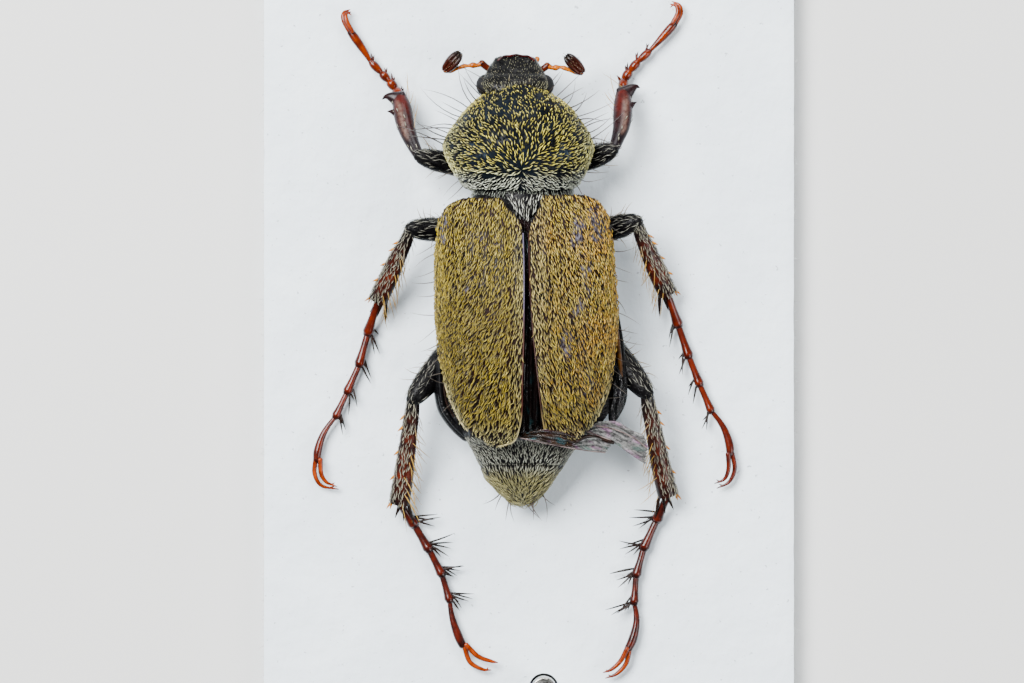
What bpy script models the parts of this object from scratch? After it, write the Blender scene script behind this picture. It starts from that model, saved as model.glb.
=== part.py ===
"""A hairy chafer beetle, Macrodactylus farinosus, glued on a pinned card, at life size.

The card lies flat on z = 0 with the beetle on top, back up and head towards +Y.
Its left side is at -X. Sizes and places are millimetres, and the last step brings them to metres.
"""

import math
import random

import bmesh
import bpy
from mathutils import Matrix, Vector

MM = 0.001
SEAM = 0.06             # air between two pieces that touch
WELD = 0.0015           # points closer than this are one point
WELD_TRIALS = (WELD, 0.0024, 0.0012, 0.0035)
SEED = 11
SEAM_TRIALS = (1.0, 1.06, 1.13, 1.21, 1.3)

# Card and pin
CARD_SIZE = (11.1, 18.0, 0.5)
CARD_BEVEL = 0.06
PIN_PLACE = (0.31, -6.28)
PIN_RADIUS = 0.26
PIN_TOP = 1.6
PIN_SIDES = 32

# Levels over the floor
BELLY = CARD_SIZE[2] + SEAM
TOE_LEVEL = BELLY + 0.2
WING_MARGIN = [(-1.7, 2.0), (-1.2, 2.02), (-0.4, 1.9), (1.0, 1.85), (3.0, 1.88), (4.1, 2.05)]
WING_RIDGE = [(-1.4, 2.22), (-1.0, 2.6), (-0.4, 3.0), (0.4, 3.3), (1.6, 3.45), (2.8, 3.32), (3.6, 3.02),
              (4.1, 2.74)]
WING_HALF_WIDTH = [(-1.4, 1.3), (-1.0, 1.46), (-0.4, 1.68), (0.4, 1.84), (1.4, 1.93), (2.8, 1.92),
                   (3.6, 1.86), (4.1, 1.78)]
WING_CENTRE = [(-1.4, -0.06), (1.5, -0.05), (4.1, -0.14)]
WING_ROUNDNESS = 2.5
WING_THICK = 0.2

# Wing cases: each margin is (y, x) from apex to shoulder
LEFT_OUTER = [(-1.22, -0.7), (-1.18, -0.82), (-1.06, -1.03), (-0.9, -1.24), (-0.4, -1.56), (0.25, -1.78),
              (1.2, -1.95), (2.2, -1.98), (3.2, -1.94), (3.6, -1.85), (3.84, -1.65), (3.96, -1.36)]
LEFT_INNER = [(-1.22, -0.58), (-1.18, -0.44), (-1.06, -0.28), (-0.85, -0.21), (0.2, -0.14), (1.4, -0.11),
              (3.0, -0.12), (3.3, -0.18), (3.62, -0.4), (3.96, -0.58)]
RIGHT_OUTER = [(-1.12, 0.76), (-1.06, 0.95), (-0.9, 1.17), (-0.55, 1.42), (-0.05, 1.65), (0.5, 1.77),
               (1.5, 1.87), (2.4, 1.81), (3.3, 1.73), (3.7, 1.61), (3.92, 1.4), (4.02, 1.16)]
RIGHT_INNER = [(-1.12, 0.62), (-1.06, 0.46), (-0.9, 0.34), (-0.6, 0.28), (0.2, 0.18), (1.4, 0.06),
               (2.8, 0.0), (3.3, 0.05), (3.62, 0.16), (4.02, 0.32)]
WING_ROWS = 20
WING_COLUMNS = 10
SUTURE_RIM = 0.04
RIM_ENDS = 2            # rows without a rim at the apex and the shoulder

# Trunk under the wing cases, by (y, x)
TRUNK_LEFT = [(-1.62, -1.06), (-1.29, -1.22), (-0.98, -1.4), (-0.56, -1.69), (0.06, -1.85), (0.6, -1.88),
              (2.0, -1.84), (3.2, -1.7), (4.04, -1.2)]
TRUNK_RIGHT = [(-1.62, 0.76), (-1.29, 0.98), (-0.98, 1.3), (-0.56, 1.68), (0.06, 1.82), (0.6, 1.84),
               (2.0, 1.74), (3.2, 1.56), (4.04, 0.95)]
TRUNK_FLOOR = [(-1.62, 0.78), (-0.6, BELLY), (3.3, BELLY), (4.04, 0.85)]
TRUNK_SPLIT = 1.15
TRUNK_BACK = -1.6
TRUNK_FRONT = 4.04
TRUNK_FULLNESS = 0.8
THORAX_STEPS = 8
ABDOMEN_STEPS = 9
COVER_END = -1.15       # the wing cases reach this far back over the abdomen
BARE_DROP = 0.2         # how far the bare end lies under the line of the wing cases
TAIL_TIP = -2.45
TAIL_STEPS = 6
TAIL_LEFT = [(-2.45, -0.26), (-2.4, -0.36), (-2.28, -0.54), (-2.06, -0.77), (-1.83, -0.96), (-1.62, -1.06)]
TAIL_RIGHT = [(-2.45, 0.02), (-2.4, 0.11), (-2.28, 0.25), (-2.06, 0.44), (-1.83, 0.6), (-1.62, 0.76)]
TAIL_TOP = [(-2.45, 1.12), (-2.28, 1.42), (-2.0, 1.72), (-1.62, 1.98)]
TAIL_FLOOR = [(-2.45, 0.9), (-1.62, 0.78)]
TAIL_SIDES = 20
TAIL_FULLNESS = 0.9
TRUNK_SIDES = 24

# Prothorax, by (y, x) or (y, z)
NECK_LEFT = [(4.1, -1.16), (4.2, -1.36), (4.38, -1.51), (4.7, -1.7), (5.02, -1.81), (5.23, -1.74),
             (5.5, -1.57), (5.9, -1.24), (6.08, -1.02), (6.18, -0.86), (6.25, -0.7)]
NECK_RIGHT = [(4.1, 0.86), (4.2, 1.0), (4.38, 1.15), (4.7, 1.28), (5.02, 1.37), (5.23, 1.3), (5.5, 1.14),
              (5.9, 0.82), (6.08, 0.56), (6.18, 0.4), (6.25, 0.27)]
NECK_TOP = [(4.1, 2.74), (4.4, 2.92), (4.9, 3.02), (5.4, 2.93), (5.9, 2.64), (6.25, 2.3)]
NECK_EDGE = [(4.1, 2.0), (5.0, 1.92), (6.25, 1.85)]
NECK_FLOOR = [(4.1, 0.92), (4.6, 0.86), (5.4, 1.08), (6.25, 1.36)]
NECK_STEPS = 12
NECK_SIDES = 24
NECK_FULLNESS = 1.12    # over 1 for a keeled side

# Head, by (y, half width), (y, top) and (y, floor)
HEAD_CENTRE = -0.29
HEAD_HALF = [(6.31, 0.56), (6.42, 0.6), (6.55, 0.6), (6.7, 0.53), (6.8, 0.45), (6.88, 0.35), (6.93, 0.25)]
HEAD_TOP = [(6.31, 2.26), (6.5, 2.14), (6.7, 1.94), (6.93, 1.74)]
HEAD_FLOOR = [(6.31, 1.1), (6.6, 1.1), (6.8, 1.26), (6.93, 1.46)]
HEAD_EDGE = 0.6         # share of the head's height under its widest line
HEAD_STEPS = 8
HEAD_SIDES = 24
HEAD_FULLNESS = 0.7
EYE_RADIUS = 0.205
EYE_OFFSET = 0.62
EYE_SIDES = 16
EYE_RINGS = 10
EYE_PLACE = (6.31, 1.84)
STALK_LEFT = [(-0.6, 6.58, 1.5, 0.1), (-0.86, 6.67, 1.55, 0.09), (-1.0, 6.79, 1.6, 0.12),
              (-1.12, 6.73, 1.62, 0.1), (-1.39, 6.71, 1.64, 0.09), (-1.58, 6.62, 1.66, 0.08),
              (-1.72, 6.61, 1.68, 0.09)]
STALK_RIGHT = [(0.0, 6.56, 1.5, 0.1), (0.27, 6.68, 1.55, 0.09), (0.4, 6.77, 1.6, 0.12),
               (0.56, 6.69, 1.62, 0.1), (0.73, 6.65, 1.64, 0.09), (0.87, 6.58, 1.66, 0.08),
               (1.08, 6.55, 1.68, 0.09)]
CLUB_LEFT = [(-1.78, 6.63, 1.7), (-1.42, 7.0, 1.8)]
CLUB_RIGHT = [(1.15, 6.54, 1.7), (0.76, 6.93, 1.8)]
CLUB_LAMELLAE = 3
LAMELLA_SPREAD = 0.075
LAMELLA_HALF_WIDTH = 0.062
LAMELLA_HALF_HEIGHT = 0.16
LAMELLA_SHAPE = ((0.0, 0.55), (0.35, 0.95), (0.75, 1.0), (1.0, 0.6))
PALP_LEFT = [(-0.5, 6.6, 1.3, 0.09), (-0.72, 6.78, 1.2, 0.08), (-0.76, 6.9, 1.14, 0.09)]
PALP_RIGHT = [(0.0, 6.6, 1.3, 0.09), (0.15, 6.78, 1.2, 0.08), (0.2, 6.88, 1.14, 0.09)]

# Scutellum, corners in the plan
SHIELD_CORNERS = [(-0.48, 3.98), (0.26, 3.98), (-0.07, 3.44)]
SHIELD_TOP = 2.86
SHIELD_LEVELS = ((-0.3, 1.0), (-0.04, 1.0), (0.0, 0.8), (0.06, 0.35))
SHIELD_EDGE_SHARES = (0.06, 0.5, 0.94)

# Hind wing, folded on the right and torn out behind
FOLD_STATIONS = [(1.8, 0.62, 1.7, 0.1, 0.1), (1.84, 0.3, 1.7, 0.18, 0.15), (1.8, -0.25, 1.7, 0.2, 0.15),
                 (1.7, -0.7, 1.72, 0.12, 0.1)]
BLADE_THICK = 0.12
BLADE_LOWER = [(0.55, -1.19), (0.95, -1.12), (1.22, -0.98), (1.45, -0.99), (1.71, -1.1), (1.62, -1.25),
               (1.57, -1.34), (1.1, -1.3), (0.62, -1.27)]
BLADE_LOWER_LEVELS = (2.14, 2.0)
BLADE_LOWER_VEINS = [[(0.66, -1.22), (1.1, -1.26), (1.55, -1.3)], [(1.0, -1.08), (1.4, -1.04), (1.68, -1.12)]]
BLADE_UPPER = [(1.2, -0.9), (1.39, -0.7), (1.85, -0.69), (2.03, -0.81), (2.37, -0.97), (2.46, -1.27),
               (2.4, -1.57), (2.07, -1.35), (1.76, -1.12), (1.45, -1.0)]
BLADE_UPPER_LEVELS = (1.86, 2.02)
BLADE_UPPER_VEINS = [[(1.5, -0.76), (1.9, -0.8), (2.36, -1.03)], [(1.45, -0.9), (1.9, -1.02), (2.4, -1.3)],
                     [(1.6, -1.0), (2.0, -1.22), (2.36, -1.5)]]
VEIN_RADIUS = 0.06

# Legs, each from its hip to its claws in the plan
LEGS = {
    "front_left": {
        "hip": (-1.0, 4.5, 1.15), "knee": (-2.26, 4.87, 1.75), "ankle": (-2.68, 6.02, 0.98),
        "thigh": 0.23, "shin": (0.17, 0.2),
        "toes": [(-2.78, 6.24), (-2.93, 6.42), (-3.09, 6.59), (-3.31, 6.82)],
        "last": [(-3.5, 7.12), (-3.72, 7.43)],
        "claws": [[(-3.92, 7.7), (-3.76, 7.92)], [(-3.85, 7.74), (-3.66, 7.88)]],
        "spines": 1, "spine": 0.34, "teeth": [(-3.04, 6.04), (-2.93, 5.74)], "side": 1,
    },
    "front_right": {
        "hip": (0.7, 4.55, 1.15), "knee": (1.76, 4.96, 1.75), "ankle": (1.93, 6.2, 0.98),
        "thigh": 0.23, "shin": (0.17, 0.2),
        "toes": [(1.98, 6.43), (2.11, 6.63), (2.29, 6.83), (2.53, 7.05)],
        "last": [(2.8, 7.34), (3.03, 7.6)],
        "claws": [[(3.2, 7.87), (2.99, 8.08)], [(3.12, 7.9), (2.92, 8.02)]],
        "spines": 1, "spine": 0.34, "teeth": [(2.31, 6.29), (2.24, 5.96)], "side": -1,
    },
    "middle_left": {
        "hip": (-0.9, 2.95, 0.95), "knee": (-2.42, 3.32, 1.8), "ankle": (-3.13, 1.87, 0.98),
        "thigh": 0.23, "shin": (0.17, 0.2),
        "toes": [(-3.37, 1.14), (-3.55, 0.48), (-3.8, -0.09), (-4.04, -0.6)],
        "last": [(-4.33, -1.04), (-4.43, -1.51)],
        "claws": [[(-4.46, -1.95), (-3.98, -2.13)], [(-4.36, -1.9), (-3.94, -1.98)]],
        "spines": 2, "spine": 0.5, "teeth": [], "side": 1,
    },
    "middle_right": {
        "hip": (0.8, 3.05, 0.95), "knee": (2.2, 3.48, 1.8), "ankle": (2.87, 2.03, 0.98),
        "thigh": 0.23, "shin": (0.17, 0.2),
        "toes": [(3.12, 1.31), (3.34, 0.66), (3.57, 0.07), (3.81, -0.48)],
        "last": [(4.11, -0.92), (4.21, -1.39)],
        "claws": [[(4.3, -1.84), (3.93, -2.09)], [(4.2, -1.82), (3.87, -1.96)]],
        "spines": 2, "spine": 0.5, "teeth": [], "side": -1,
    },
    "hind_left": {
        "hip": (-0.95, 1.62, 0.95), "knee": (-2.38, -0.2, 1.72), "ankle": (-2.69, -2.37, 0.98),
        "thigh": 0.28, "shin": (0.17, 0.23),
        "toes": [(-2.4, -2.86), (-2.09, -3.38), (-1.82, -3.9), (-1.66, -4.44)],
        "last": [(-1.57, -4.92), (-1.39, -5.37)],
        "claws": [[(-1.16, -5.8), (-0.78, -5.92)], [(-1.06, -5.58), (-0.66, -5.73)]],
        "spines": 3, "spine": 0.55, "teeth": [], "side": 1,
    },
    "hind_right": {
        "hip": (0.95, 1.75, 0.95), "knee": (2.42, -0.07, 1.72), "ankle": (2.89, -2.2, 0.98),
        "thigh": 0.28, "shin": (0.17, 0.23),
        "toes": [(2.67, -2.76), (2.4, -3.35), (2.24, -3.92), (2.2, -4.49)],
        "last": [(2.24, -4.97), (2.08, -5.45)],
        "claws": [[(1.93, -5.82), (1.6, -6.06)], [(1.86, -5.68), (1.52, -5.9)]],
        "spines": 3, "spine": 0.55, "teeth": [], "side": -1,
    },
}
THIGH_SHAPE = ((0.0, 0.75), (0.35, 0.95), (0.7, 1.0), (0.97, 0.84))
SHIN_SHAPE = ((0.0, 0.0), (0.3, 0.15), (0.7, 0.8), (0.96, 1.0))
TOE_SHAPE = ((0.12, 0.72), (0.6, 0.85), (0.9, 1.0))
LAST_TOE_SHAPE = (0.8, 0.85, 1.0)
TOE_RADII = (0.19, 0.13)
CLAW_RADII = (0.1, 0.075, 0.025)
CLAW_LEVELS = (0.03, -0.06)     # the bend and the tip over the toes
CLAW_STEP = 0.14                # height of the second claw over the first
SHIN_SPINE_SHARES = (0.4, 0.62, 0.82)
SHIN_SPINE_LENGTHS = (0.38, 0.44)
TOOTH_PLACES = (0.93, 0.68)
TOOTH_RADII = (0.15, 0.03)
SPINE_RADII = (0.075, 0.02)
SPINE_SIDES = 4
LIMB_SIDES = 10
TOE_SIDES = 8
THIGH_STEPS = 8
SHIN_STEPS = 7
CLAW_STEPS = 6
CLAW_SIDES = 6


def follow(points, place):
    """Value at a place on a smooth line through (place, value) points."""
    if place <= points[0][0]:
        return points[0][1]
    if place >= points[-1][0]:
        return points[-1][1]
    first = max(k for k in range(len(points) - 1) if points[k][0] <= place)
    slopes = []
    for k in (first, first + 1):
        before = points[max(k - 1, 0)]
        after = points[min(k + 1, len(points) - 1)]
        slopes.append((after[1] - before[1]) / (after[0] - before[0]))
    run = points[first + 1][0] - points[first][0]
    t = (place - points[first][0]) / run
    ease = t * t * (3 - 2 * t)
    start_pull = t * (1 - t) ** 2 * run * slopes[0]
    end_pull = t * t * (t - 1) * run * slopes[1]
    return points[first][1] * (1 - ease) + points[first + 1][1] * ease + start_pull + end_pull


def sampled(stations, count):
    """Even samples of a smooth line through stations of any number of values."""
    last = len(stations) - 1
    samples = []
    for k in range(count):
        place = last * k / (count - 1)
        samples.append([follow(list(enumerate(values)), place) for values in zip(*stations)])
    return samples


def finish(name, colour, roughness, metallic=0.0):
    """A Principled material, shared by the pieces that have it."""
    material = bpy.data.materials.get(name)
    if material is None:
        material = bpy.data.materials.new(name)
        material.use_nodes = True
        shader = material.node_tree.nodes["Principled BSDF"]
        shader.inputs["Base Color"].default_value = (*colour, 1.0)
        shader.inputs["Roughness"].default_value = roughness
        shader.inputs["Metallic"].default_value = metallic
    return material


def piece(name, bm, material):
    """An object from a bmesh, welded, facing out and cut into triangles."""
    clean(bm)
    bmesh.ops.recalc_face_normals(bm, faces=bm.faces)
    mesh = bpy.data.meshes.new(name)
    bm.to_mesh(mesh)
    bm.free()
    mesh.materials.append(material)
    thing = bpy.data.objects.new(name, mesh)
    bpy.context.scene.collection.objects.link(thing)
    return thing


def loft(name, rings, material):
    """A closed form through rings of points, with flat ends."""
    bm = bmesh.new()
    loops = [[bm.verts.new(point) for point in ring] for ring in rings]
    for low, high in zip(loops, loops[1:]):
        for k in range(len(low)):
            after = (k + 1) % len(low)
            bm.faces.new((low[k], low[after], high[after], high[k]))
    bm.faces.new(list(reversed(loops[0])))
    bm.faces.new(loops[-1])
    return piece(name, bm, material)


def limb(name, stations, count, sides, material):
    """A bent round-ended bar through (x, y, z, half width, half height) stations."""
    samples = sampled(stations, count)
    centres = [Vector(sample[:3]) for sample in samples]
    rings = []
    for k, (centre, sample) in enumerate(zip(centres, samples)):
        along = (centres[min(k + 1, count - 1)] - centres[max(k - 1, 0)]).normalized()
        side = along.cross(Vector((0, 0, 1))).normalized()
        rise = side.cross(along)
        bulges = [(0, 1.0)]
        if k == 0:
            bulges = [(-0.9, 0.45), (-0.55, 0.84), (0, 1.0)]
        if k == count - 1:
            bulges = [(0, 1.0), (0.55, 0.84), (0.9, 0.45)]
        for shift, scale in bulges:
            middle = centre + along * shift * min(sample[3:])
            ring = []
            for step in range(sides):
                turn = 2 * math.pi * step / sides
                across = side * math.cos(turn) * sample[3] * scale
                ring.append(middle + across + rise * math.sin(turn) * sample[4] * scale)
            rings.append(ring)
    return loft(name, rings, material)


def spine(root, tip, radii=SPINE_RADII):
    """A tapered spine from its sunk root to its tip."""
    middle = (root + tip) / 2
    along = (tip - root).normalized()
    side = along.orthogonal().normalized()
    rise = side.cross(along)
    rings = []
    for centre, radius in ((root, radii[0]), (middle, sum(radii) / 2), (tip, radii[1])):
        ring = []
        for step in range(SPINE_SIDES):
            turn = 2 * math.pi * step / SPINE_SIDES
            ring.append(centre + side * math.cos(turn) * radius + rise * math.sin(turn) * radius)
        rings.append(ring)
    return loft("spine", rings, finish("spine", (0.05, 0.03, 0.02), 0.35))


def is_closed(mesh):
    """Whether each edge of a mesh has two faces."""
    bm = bmesh.new()
    bm.from_mesh(mesh)
    closed = len(bm.faces) > 0 and all(len(edge.link_faces) == 2 for edge in bm.edges)
    bm.free()
    return closed


def clean(bm, weld=WELD):
    """Triangles only, with near points made one and the folds that this leaves taken out."""
    bmesh.ops.triangulate(bm, faces=bm.faces)
    bmesh.ops.dissolve_degenerate(bm, edges=bm.edges, dist=weld)
    bmesh.ops.remove_doubles(bm, verts=bm.verts, dist=weld)
    bmesh.ops.triangulate(bm, faces=bm.faces)
    corners = {}
    for face in bm.faces:
        corners.setdefault(frozenset(face.verts), []).append(face)
    folds = [face for faces in corners.values() if len(faces) > 1 for face in faces]
    bmesh.ops.delete(bm, geom=folds, context="FACES")


def keep_largest(bm):
    """Delete all but the largest closed surface."""
    unseen = set(bm.faces)
    shells = []
    while unseen:
        shell = []
        front = [unseen.pop()]
        while front:
            face = front.pop()
            shell.append(face)
            for edge in face.edges:
                for other in edge.link_faces:
                    if other in unseen:
                        unseen.discard(other)
                        front.append(other)
        shells.append(shell)
    shells.sort(key=lambda shell: sum(face.calc_area() for face in shell))
    scraps = [face for shell in shells[:-1] for face in shell]
    bmesh.ops.delete(bm, geom=scraps, context="FACES")


def combined(body, operation, others, solver, weld):
    """The cleaned mesh of one Boolean of a body with a collection of others."""
    group = bpy.data.collections.new(operation)
    for other in others:
        group.objects.link(other)
    step = body.modifiers.new(operation, "BOOLEAN")
    step.operation = operation
    step.operand_type = "COLLECTION"
    step.collection = group
    step.solver = solver
    bpy.context.view_layer.update()
    evaluated = body.evaluated_get(bpy.context.evaluated_depsgraph_get())
    result = bpy.data.meshes.new_from_object(evaluated)
    body.modifiers.clear()
    bpy.data.collections.remove(group)
    bm = bmesh.new()
    bm.from_mesh(result)
    clean(bm, weld)
    keep_largest(bm)
    bm.to_mesh(result)
    bm.free()
    result.materials.clear()
    result.materials.append(body.data.materials[0])
    return result


def combine(body, operation, others):
    """Apply one Boolean that leaves a closed body, then remove the others."""
    trials = [(solver, weld) for solver in ("EXACT", "MANIFOLD") for weld in WELD_TRIALS]
    results = (combined(body, operation, others, *trial) for trial in trials)
    closed = next((result for result in results if is_closed(result)), None)
    for other in others:
        bpy.data.objects.remove(other)
    if closed is not None:
        body.data = closed
    return closed is not None


def fuse(body, others):
    """Join closed pieces to a body in one union."""
    if not combine(body, "UNION", others):
        raise RuntimeError(f"{body.name}: the union is not closed")
    return body


def room(body, by):
    """A copy of a body, swollen by a seam, to cut its neighbour with."""
    bm = bmesh.new()
    bm.from_mesh(body.data)
    bm.normal_update()
    for vertex in bm.verts:
        vertex.co += vertex.normal * by * min(vertex.calc_shell_factor(), 1.6)
    mesh = bpy.data.meshes.new("room")
    bm.to_mesh(mesh)
    bm.free()
    mesh.materials.append(body.data.materials[0])
    cutter = bpy.data.objects.new("room", mesh)
    bpy.context.scene.collection.objects.link(cutter)
    return cutter


def trim(body, neighbours):
    """Cut a body back to the seam from each neighbour it grows from."""
    for neighbour in neighbours:
        if not any(combine(body, "DIFFERENCE", [room(neighbour, SEAM * ease)]) for ease in SEAM_TRIALS):
            raise RuntimeError(f"{body.name}: the cut by {neighbour.name} is not closed")
    return body


def card_and_pin():
    """The mounting card and the pin through it."""
    wide, long, thick = (value / 2 for value in CARD_SIZE)
    bm = bmesh.new()
    bmesh.ops.create_cube(bm, size=2.0)
    for vertex in bm.verts:
        vertex.co = Vector((vertex.co.x * wide, vertex.co.y * long, (vertex.co.z + 1) * thick))
    bmesh.ops.bevel(bm, geom=bm.edges[:], offset=CARD_BEVEL, segments=1, affect="EDGES")
    card = piece("card", bm, finish("white_card", (0.86, 0.84, 0.79), 0.85))
    hole = pin_bar("hole", PIN_RADIUS + SEAM, -1.0, 2.0)
    combine(card, "DIFFERENCE", [hole])
    pin = pin_bar("pin", PIN_RADIUS, 0.0, PIN_TOP)
    return card, pin


def pin_bar(name, radius, low, high):
    """A round upright bar at the pin's place."""
    rings = []
    for level in (low, high):
        ring = []
        for step in range(PIN_SIDES):
            turn = 2 * math.pi * step / PIN_SIDES
            across, along = radius * math.cos(turn), radius * math.sin(turn)
            ring.append((PIN_PLACE[0] + across, PIN_PLACE[1] + along, level))
        rings.append(ring)
    return loft(name, rings, finish("pin_steel", (0.33, 0.31, 0.29), 0.35, 0.9))


def back_level(x, y):
    """Height of the back over a point of the plan."""
    share = min(1.0, abs(x - follow(WING_CENTRE, y)) / follow(WING_HALF_WIDTH, y))
    margin = follow(WING_MARGIN, y)
    ridge = follow(WING_RIDGE, y)
    return margin + (ridge - margin) * math.sqrt(1 - share ** WING_ROUNDNESS)


def wing_case(name, inner, outer):
    """A wing case: a patch of the back's dome, thickened inwards."""
    low, high = inner[0][0], inner[-1][0]
    bm = bmesh.new()
    rows = []
    for row in range(WING_ROWS + 1):
        share = (1 - math.cos(math.pi * row / WING_ROWS)) / 2
        y = low + (high - low) * (0.35 * row / WING_ROWS + 0.65 * share)
        near, far = follow(inner, y), follow(outer, y)
        verts = []
        for column in range(WING_COLUMNS + 1):
            x = near + (far - near) * math.sin(math.pi / 2 * column / WING_COLUMNS)
            rimmed = column == 0 and RIM_ENDS < row < WING_ROWS - RIM_ENDS
            rim = SUTURE_RIM if rimmed else 0.0
            verts.append(bm.verts.new((x, y, back_level(x, y) + rim)))
        rows.append(verts)
    for low_row, high_row in zip(rows, rows[1:]):
        for column in range(WING_COLUMNS):
            bm.faces.new((low_row[column], low_row[column + 1], high_row[column + 1], high_row[column]))
    bmesh.ops.recalc_face_normals(bm, faces=bm.faces)
    if bm.faces[len(bm.faces) // 2].normal.z < 0:
        bmesh.ops.reverse_faces(bm, faces=bm.faces)
    bmesh.ops.solidify(bm, geom=bm.faces[:], thickness=WING_THICK)
    return piece(name, bm, finish("wing_case_ochre", (0.46, 0.34, 0.15), 0.6))


def trunk_ring(y):
    """One section of the trunk: a ledge under the wing cases' margin and a dome inside them."""
    left, right = follow(TRUNK_LEFT, y), follow(TRUNK_RIGHT, y)
    middle, half = (left + right) / 2, (right - left) / 2
    ledge = follow(WING_MARGIN, y) - SEAM
    floor = follow(TRUNK_FLOOR, y)
    dome_half, dome_middle = half, middle
    top = follow(WING_RIDGE, y) - BARE_DROP
    if y > COVER_END:
        room_inside = WING_THICK + 2 * SEAM
        dome_half = min(follow(WING_HALF_WIDTH, y) - room_inside, half)
        dome_middle = max(left + dome_half, min(right - dome_half, follow(WING_CENTRE, y)))
        top = follow(WING_RIDGE, y) - room_inside
    ring = []
    steps = TRUNK_SIDES // 2
    for step in range(steps + 1):
        turn = math.pi * step / steps
        rise = math.sin(turn) ** TRUNK_FULLNESS
        ring.append((dome_middle + dome_half * math.cos(turn), y, ledge + (top - ledge) * rise))
    for step in range(steps + 1):
        turn = math.pi * (1 + step / steps)
        ring.append((middle + half * math.cos(turn), y, ledge + (ledge - floor) * math.sin(turn)))
    return ring


def trunk_part(name, back, front, steps):
    """A length of the trunk."""
    rings = [trunk_ring(back + (front - back) * k / steps) for k in range(steps + 1)]
    return loft(name, rings, finish("body_black", (0.02, 0.02, 0.024), 0.4))


def oval_ring(y, left, right, top, edge, floor, sides, fullness):
    """A section with its widest points at the edge level."""
    middle, half = (left + right) / 2, (right - left) / 2
    ring = []
    for step in range(sides):
        turn = 2 * math.pi * step / sides
        rise = math.sin(turn)
        reach = top - edge if rise > 0 else edge - floor
        level = edge + reach * math.copysign(abs(rise) ** fullness, rise)
        ring.append((middle + half * math.cos(turn), y, level))
    return ring


def tail():
    """The pygidium, the plate that closes the abdomen behind."""
    rings = []
    start = TRUNK_BACK - SEAM
    for k in range(TAIL_STEPS + 1):
        y = start + (TAIL_TIP - start) * math.sin(math.pi / 2 * k / TAIL_STEPS)
        top, floor = follow(TAIL_TOP, y), follow(TAIL_FLOOR, y)
        left, right = follow(TAIL_LEFT, y), follow(TAIL_RIGHT, y)
        rings.append(oval_ring(y, left, right, top, (top + floor) / 2, floor, TAIL_SIDES, TAIL_FULLNESS))
    return loft("pygidium", rings, finish("tail_hair", (0.42, 0.36, 0.26), 0.7))


def neck():
    """The prothorax, with its shield above and its breast below."""
    rings = []
    low, high = NECK_LEFT[0][0], NECK_LEFT[-1][0]
    for k in range(NECK_STEPS + 1):
        y = low + (high - low) * (1 - math.cos(math.pi * k / NECK_STEPS)) / 2
        left, right = follow(NECK_LEFT, y), follow(NECK_RIGHT, y)
        levels = follow(NECK_TOP, y), follow(NECK_EDGE, y), follow(NECK_FLOOR, y)
        rings.append(oval_ring(y, left, right, *levels, NECK_SIDES, NECK_FULLNESS))
    return loft("prothorax", rings, finish("shield_blue_black", (0.06, 0.065, 0.075), 0.5))


def skull():
    """The head without its eyes."""
    rings = []
    low, high = HEAD_HALF[0][0], HEAD_HALF[-1][0]
    for k in range(HEAD_STEPS + 1):
        y = low + (high - low) * math.sin(math.pi / 2 * k / HEAD_STEPS)
        half, top, floor = follow(HEAD_HALF, y), follow(HEAD_TOP, y), follow(HEAD_FLOOR, y)
        edge = floor + (top - floor) * HEAD_EDGE
        left, right = HEAD_CENTRE - half, HEAD_CENTRE + half
        rings.append(oval_ring(y, left, right, top, edge, floor, HEAD_SIDES, HEAD_FULLNESS))
    return loft("head", rings, finish("head_black", (0.03, 0.025, 0.025), 0.45))


def eye(name, side):
    """One compound eye."""
    bm = bmesh.new()
    bmesh.ops.create_uvsphere(bm, u_segments=EYE_SIDES, v_segments=EYE_RINGS, radius=EYE_RADIUS)
    place = Vector((HEAD_CENTRE + side * EYE_OFFSET, *EYE_PLACE))
    bmesh.ops.translate(bm, verts=bm.verts, vec=place)
    return piece(name, bm, finish("eye_grey", (0.06, 0.06, 0.065), 0.35))


def stalk(name, stations, neighbours):
    """A round feeler or palp, cut back to what it grows from."""
    full = [(x, y, z, radius, radius) for x, y, z, radius in stations]
    material = finish("feeler_orange", (0.4, 0.14, 0.04), 0.4)
    return trim(limb(name, full, 3 * len(full) - 2, TOE_SIDES, material), neighbours)


def club(name, ends, grown_from):
    """The antenna's club: flat lamellae side by side, joined at their roots."""
    root, tip = (Vector(end) for end in ends)
    along = (tip - root).normalized()
    across = along.cross(Vector((0, 0, 1))).normalized()
    material = finish("club_brown", (0.08, 0.05, 0.03), 0.55)
    blades = []
    for k in range(CLUB_LAMELLAE):
        lean = (k - 1) * LAMELLA_SPREAD
        stations = []
        for share, size in LAMELLA_SHAPE:
            spot = root.lerp(tip, share) + across * lean * (1 + share) * 0.6
            stations.append((*spot, LAMELLA_HALF_WIDTH * size, LAMELLA_HALF_HEIGHT * size))
        blades.append(limb(name if k == 0 else "lamella", stations, 6, TOE_SIDES, material))
    return trim(fuse(blades[0], blades[1:]), [grown_from])


def scutellum():
    """The small triangle between the wing cases and the prothorax."""
    centre = Vector((sum(x for x, _ in SHIELD_CORNERS) / 3, sum(y for _, y in SHIELD_CORNERS) / 3, 0))
    edge = []
    for k, corner in enumerate(SHIELD_CORNERS):
        start = Vector((*corner, 0))
        end = Vector((*SHIELD_CORNERS[(k + 1) % 3], 0))
        edge += [start.lerp(end, share) - centre for share in SHIELD_EDGE_SHARES]
    rings = []
    for lift, scale in SHIELD_LEVELS:
        rings.append([centre + spot * scale + Vector((0, 0, SHIELD_TOP + lift)) for spot in edge])
    return loft("scutellum", rings, finish("scutellum_white", (0.4, 0.4, 0.37), 0.6))


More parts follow.
